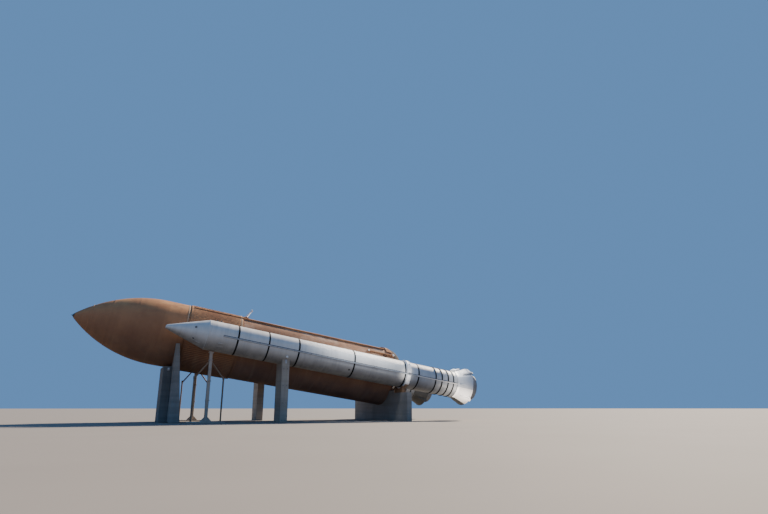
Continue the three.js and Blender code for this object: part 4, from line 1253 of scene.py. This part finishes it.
def make_cradles():
    """Timber cradles, cut into stacked baulks from the CAD blocks."""
    split = 0.0025
    for name, _ in SIDES:
        node = f"cradle_{name}"
        low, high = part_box(node)
        levels = even(low[2], high[2], 3)
        whole = bmesh.new()
        for bottom, top in zip(levels, levels[1:]):
            part = welded(node)
            for level, normal in ((bottom + split, -1), (top - split, 1)):
                cut = cut_level(part, level, normal, True)
                edges = [e for e in cut["geom_cut"] if isinstance(e, bmesh.types.BMEdge)]
                if edges:
                    bmesh.ops.contextual_create(part, geom=edges)
                    bmesh.ops.holes_fill(part, edges=part.edges)
            whole.from_mesh(meshed("baulk", part))
        cradle = f"timber_cradle_{name}"
        dress(meshed(cradle, whole), cradle, ROOT, (TIMBER,), (node,))


def make_props():
    half, plate, base_half, knee, brace = 0.09, 0.06, 0.3, 2.6, 3.7
    for name, side in SIDES:
        low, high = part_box(f"prop_{name}")
        prop = Piece(f"steel_prop_frame_{name}", at((low[0] + high[0]) / 2, side * BOOSTER_Y, 0), GREY, TAN, BARE)
        under = high[2] - 0.09
        prop.box(half, half, (plate, under), 0, 0.018)
        for z in (1.3, 2.45, 3.7):
            prop.box(half + 0.035, half + 0.035, about(z, 0.022))
            prop.bolt_grid(ROOT, about(0, half + 0.01), about(0, half + 0.01), z + 0.022, 0.014, 0.012, 2)
        prop.box(1.1, base_half, (0, plate), 0, 0.008)
        for way in ENDS:
            prop.bolt_grid(ROOT, (way * 0.3, way * 0.66, way * 1.03), about(0, 0.24), plate, 0.02, 0.018, 2)
            prop.prism([(way * x, plate + z) for x, z in (
                (half, -0.01), (half + 0.26, -0.01), (half + 0.26, 0.03), (half, 0.3))], 0.01)
            leg = way * 0.86
            prop.rod((0, 0, brace), (leg, 0, knee), 0.045, 1, 20)
            prop.rod((leg, 0, knee + 0.1), (leg, 0, plate / 2), 0.05, 1, 20)
            prop.rod((leg, 0, plate), (leg, 0, plate + 0.03), 0.1)
            prop.rod((leg, 0, knee - 0.05), (leg, 0, knee + 0.13), 0.062, 1, 20)
        # The saddle under the booster: a bearing plate with side lips
        slant = at(0, 0, under - 0.03) @ Matrix.Rotation(TILT, 4, "Y")
        prop.box(0.15, 0.15, 0.025, 0, 0.008, slant)
        for way in ENDS:
            prop.prism([(-0.13, 0), (0.13, 0), (0.13, 0.06), (-0.13, 0.06)], about(way * 0.13, 0.015), 0, slant)
        prop.done("steel_prop", f"prop_{name}")


# Floor, light and camera

def make_floor():
    data = bpy.data.meshes.new("floor")
    reach = 1500
    corners = [(-reach, -reach, 0), (reach, -reach, 0), (reach, reach, 0), (-reach, reach, 0)]
    data.from_pydata(corners, [], [(0, 1, 2, 3)])
    f = Finish("floor", 0.9)
    data.materials.append(f.done(f.mix(f.noise(0.2), (0.205, 0.183, 0.16), (0.235, 0.212, 0.187)), None))
    floor = new_object("floor", data)
    floor.location.z = -0.002


def make_light():
    world = bpy.data.worlds.new("studio")
    world.use_nodes = True
    sky = world.node_tree.nodes["Background"].inputs
    sky["Color"].default_value = (0.25, 0.55, 1.12, 1)
    sky["Strength"].default_value = 0.49
    bpy.context.scene.world = world

    sun = bpy.data.lights.new("key", "SUN")
    sun.energy, sun.color, sun.angle = 11, (1, 0.86, 0.69), math.radians(7)
    new_object("key", sun).rotation_euler = Vector((0.72, 0.42, 0.57)).to_track_quat("Z", "Y").to_euler()

    # Soft lights over the aft half of the near side, on the attach ring, above the near skirt and low behind it
    for name, size, spread, energy, color, place, target in (
        ("fill", (6.5, 1.5), 50, 98, (0.93, 0.96, 1), (4.1, -6.4, 9.3), (4.4, -3.4, 4)),
        ("ring", (0.6, 0.6), 22, 2.6, (1, 0.97, 0.93), (7.1, -6.6, 1.6), (7.6, -4.1, 3.15)),
        ("crown", (1, 1), 34, 24, (1, 0.95, 0.88), (11.5, -3.5, 7.8), (11.9, -3.5, 3.7)),
        ("low", (1, 1), 56, 34, (1, 0.9, 0.8), (12.9, -6.2, 0.3), (11.95, -4.1, 1.6)),
    ):
        panel = bpy.data.lights.new(name, "AREA")
        panel.shape, (panel.size, panel.size_y) = "ELLIPSE", size
        panel.energy, panel.color, panel.spread = energy, color, math.radians(spread)
        lamp = new_object(name, panel)
        lamp.visible_camera = False
        lamp.location = place
        lamp.rotation_euler = (Vector(place) - Vector(target)).to_track_quat("Z", "Y").to_euler()


def make_camera():
    """The photograph's camera, solved from the outlines of the tank and the near booster."""
    focal_pixels, picture_width = 541.232, 768
    data = bpy.data.cameras.new("camera")
    data.sensor_width = 36
    data.lens = focal_pixels / picture_width * data.sensor_width
    data.clip_end = 3000
    camera = new_object("camera", data)
    camera.location = (TIP.x + 2.870405, -38.29494, 0.848565)
    camera.rotation_euler = (math.pi / 2 + 0.27251478, 0, -0.45308075)
    bpy.context.scene.camera = camera


for make in (make_camera, make_tank_nose, make_forward_tank, make_intertank, make_aft_tank, make_feedline,
             make_cable_tray, make_bipod, make_aft_fittings):
    make()
for label, way in SIDES:
    for make in (make_booster_nose, make_frustum, make_forward_skirt, make_segments, make_tunnel, make_attach_ring,
                 make_aft_skirt, make_curtain, make_bearing, make_nozzle, make_links):
        make(label, way)
for make in (make_piers, make_cradles, make_props, make_floor, make_light):
    make()
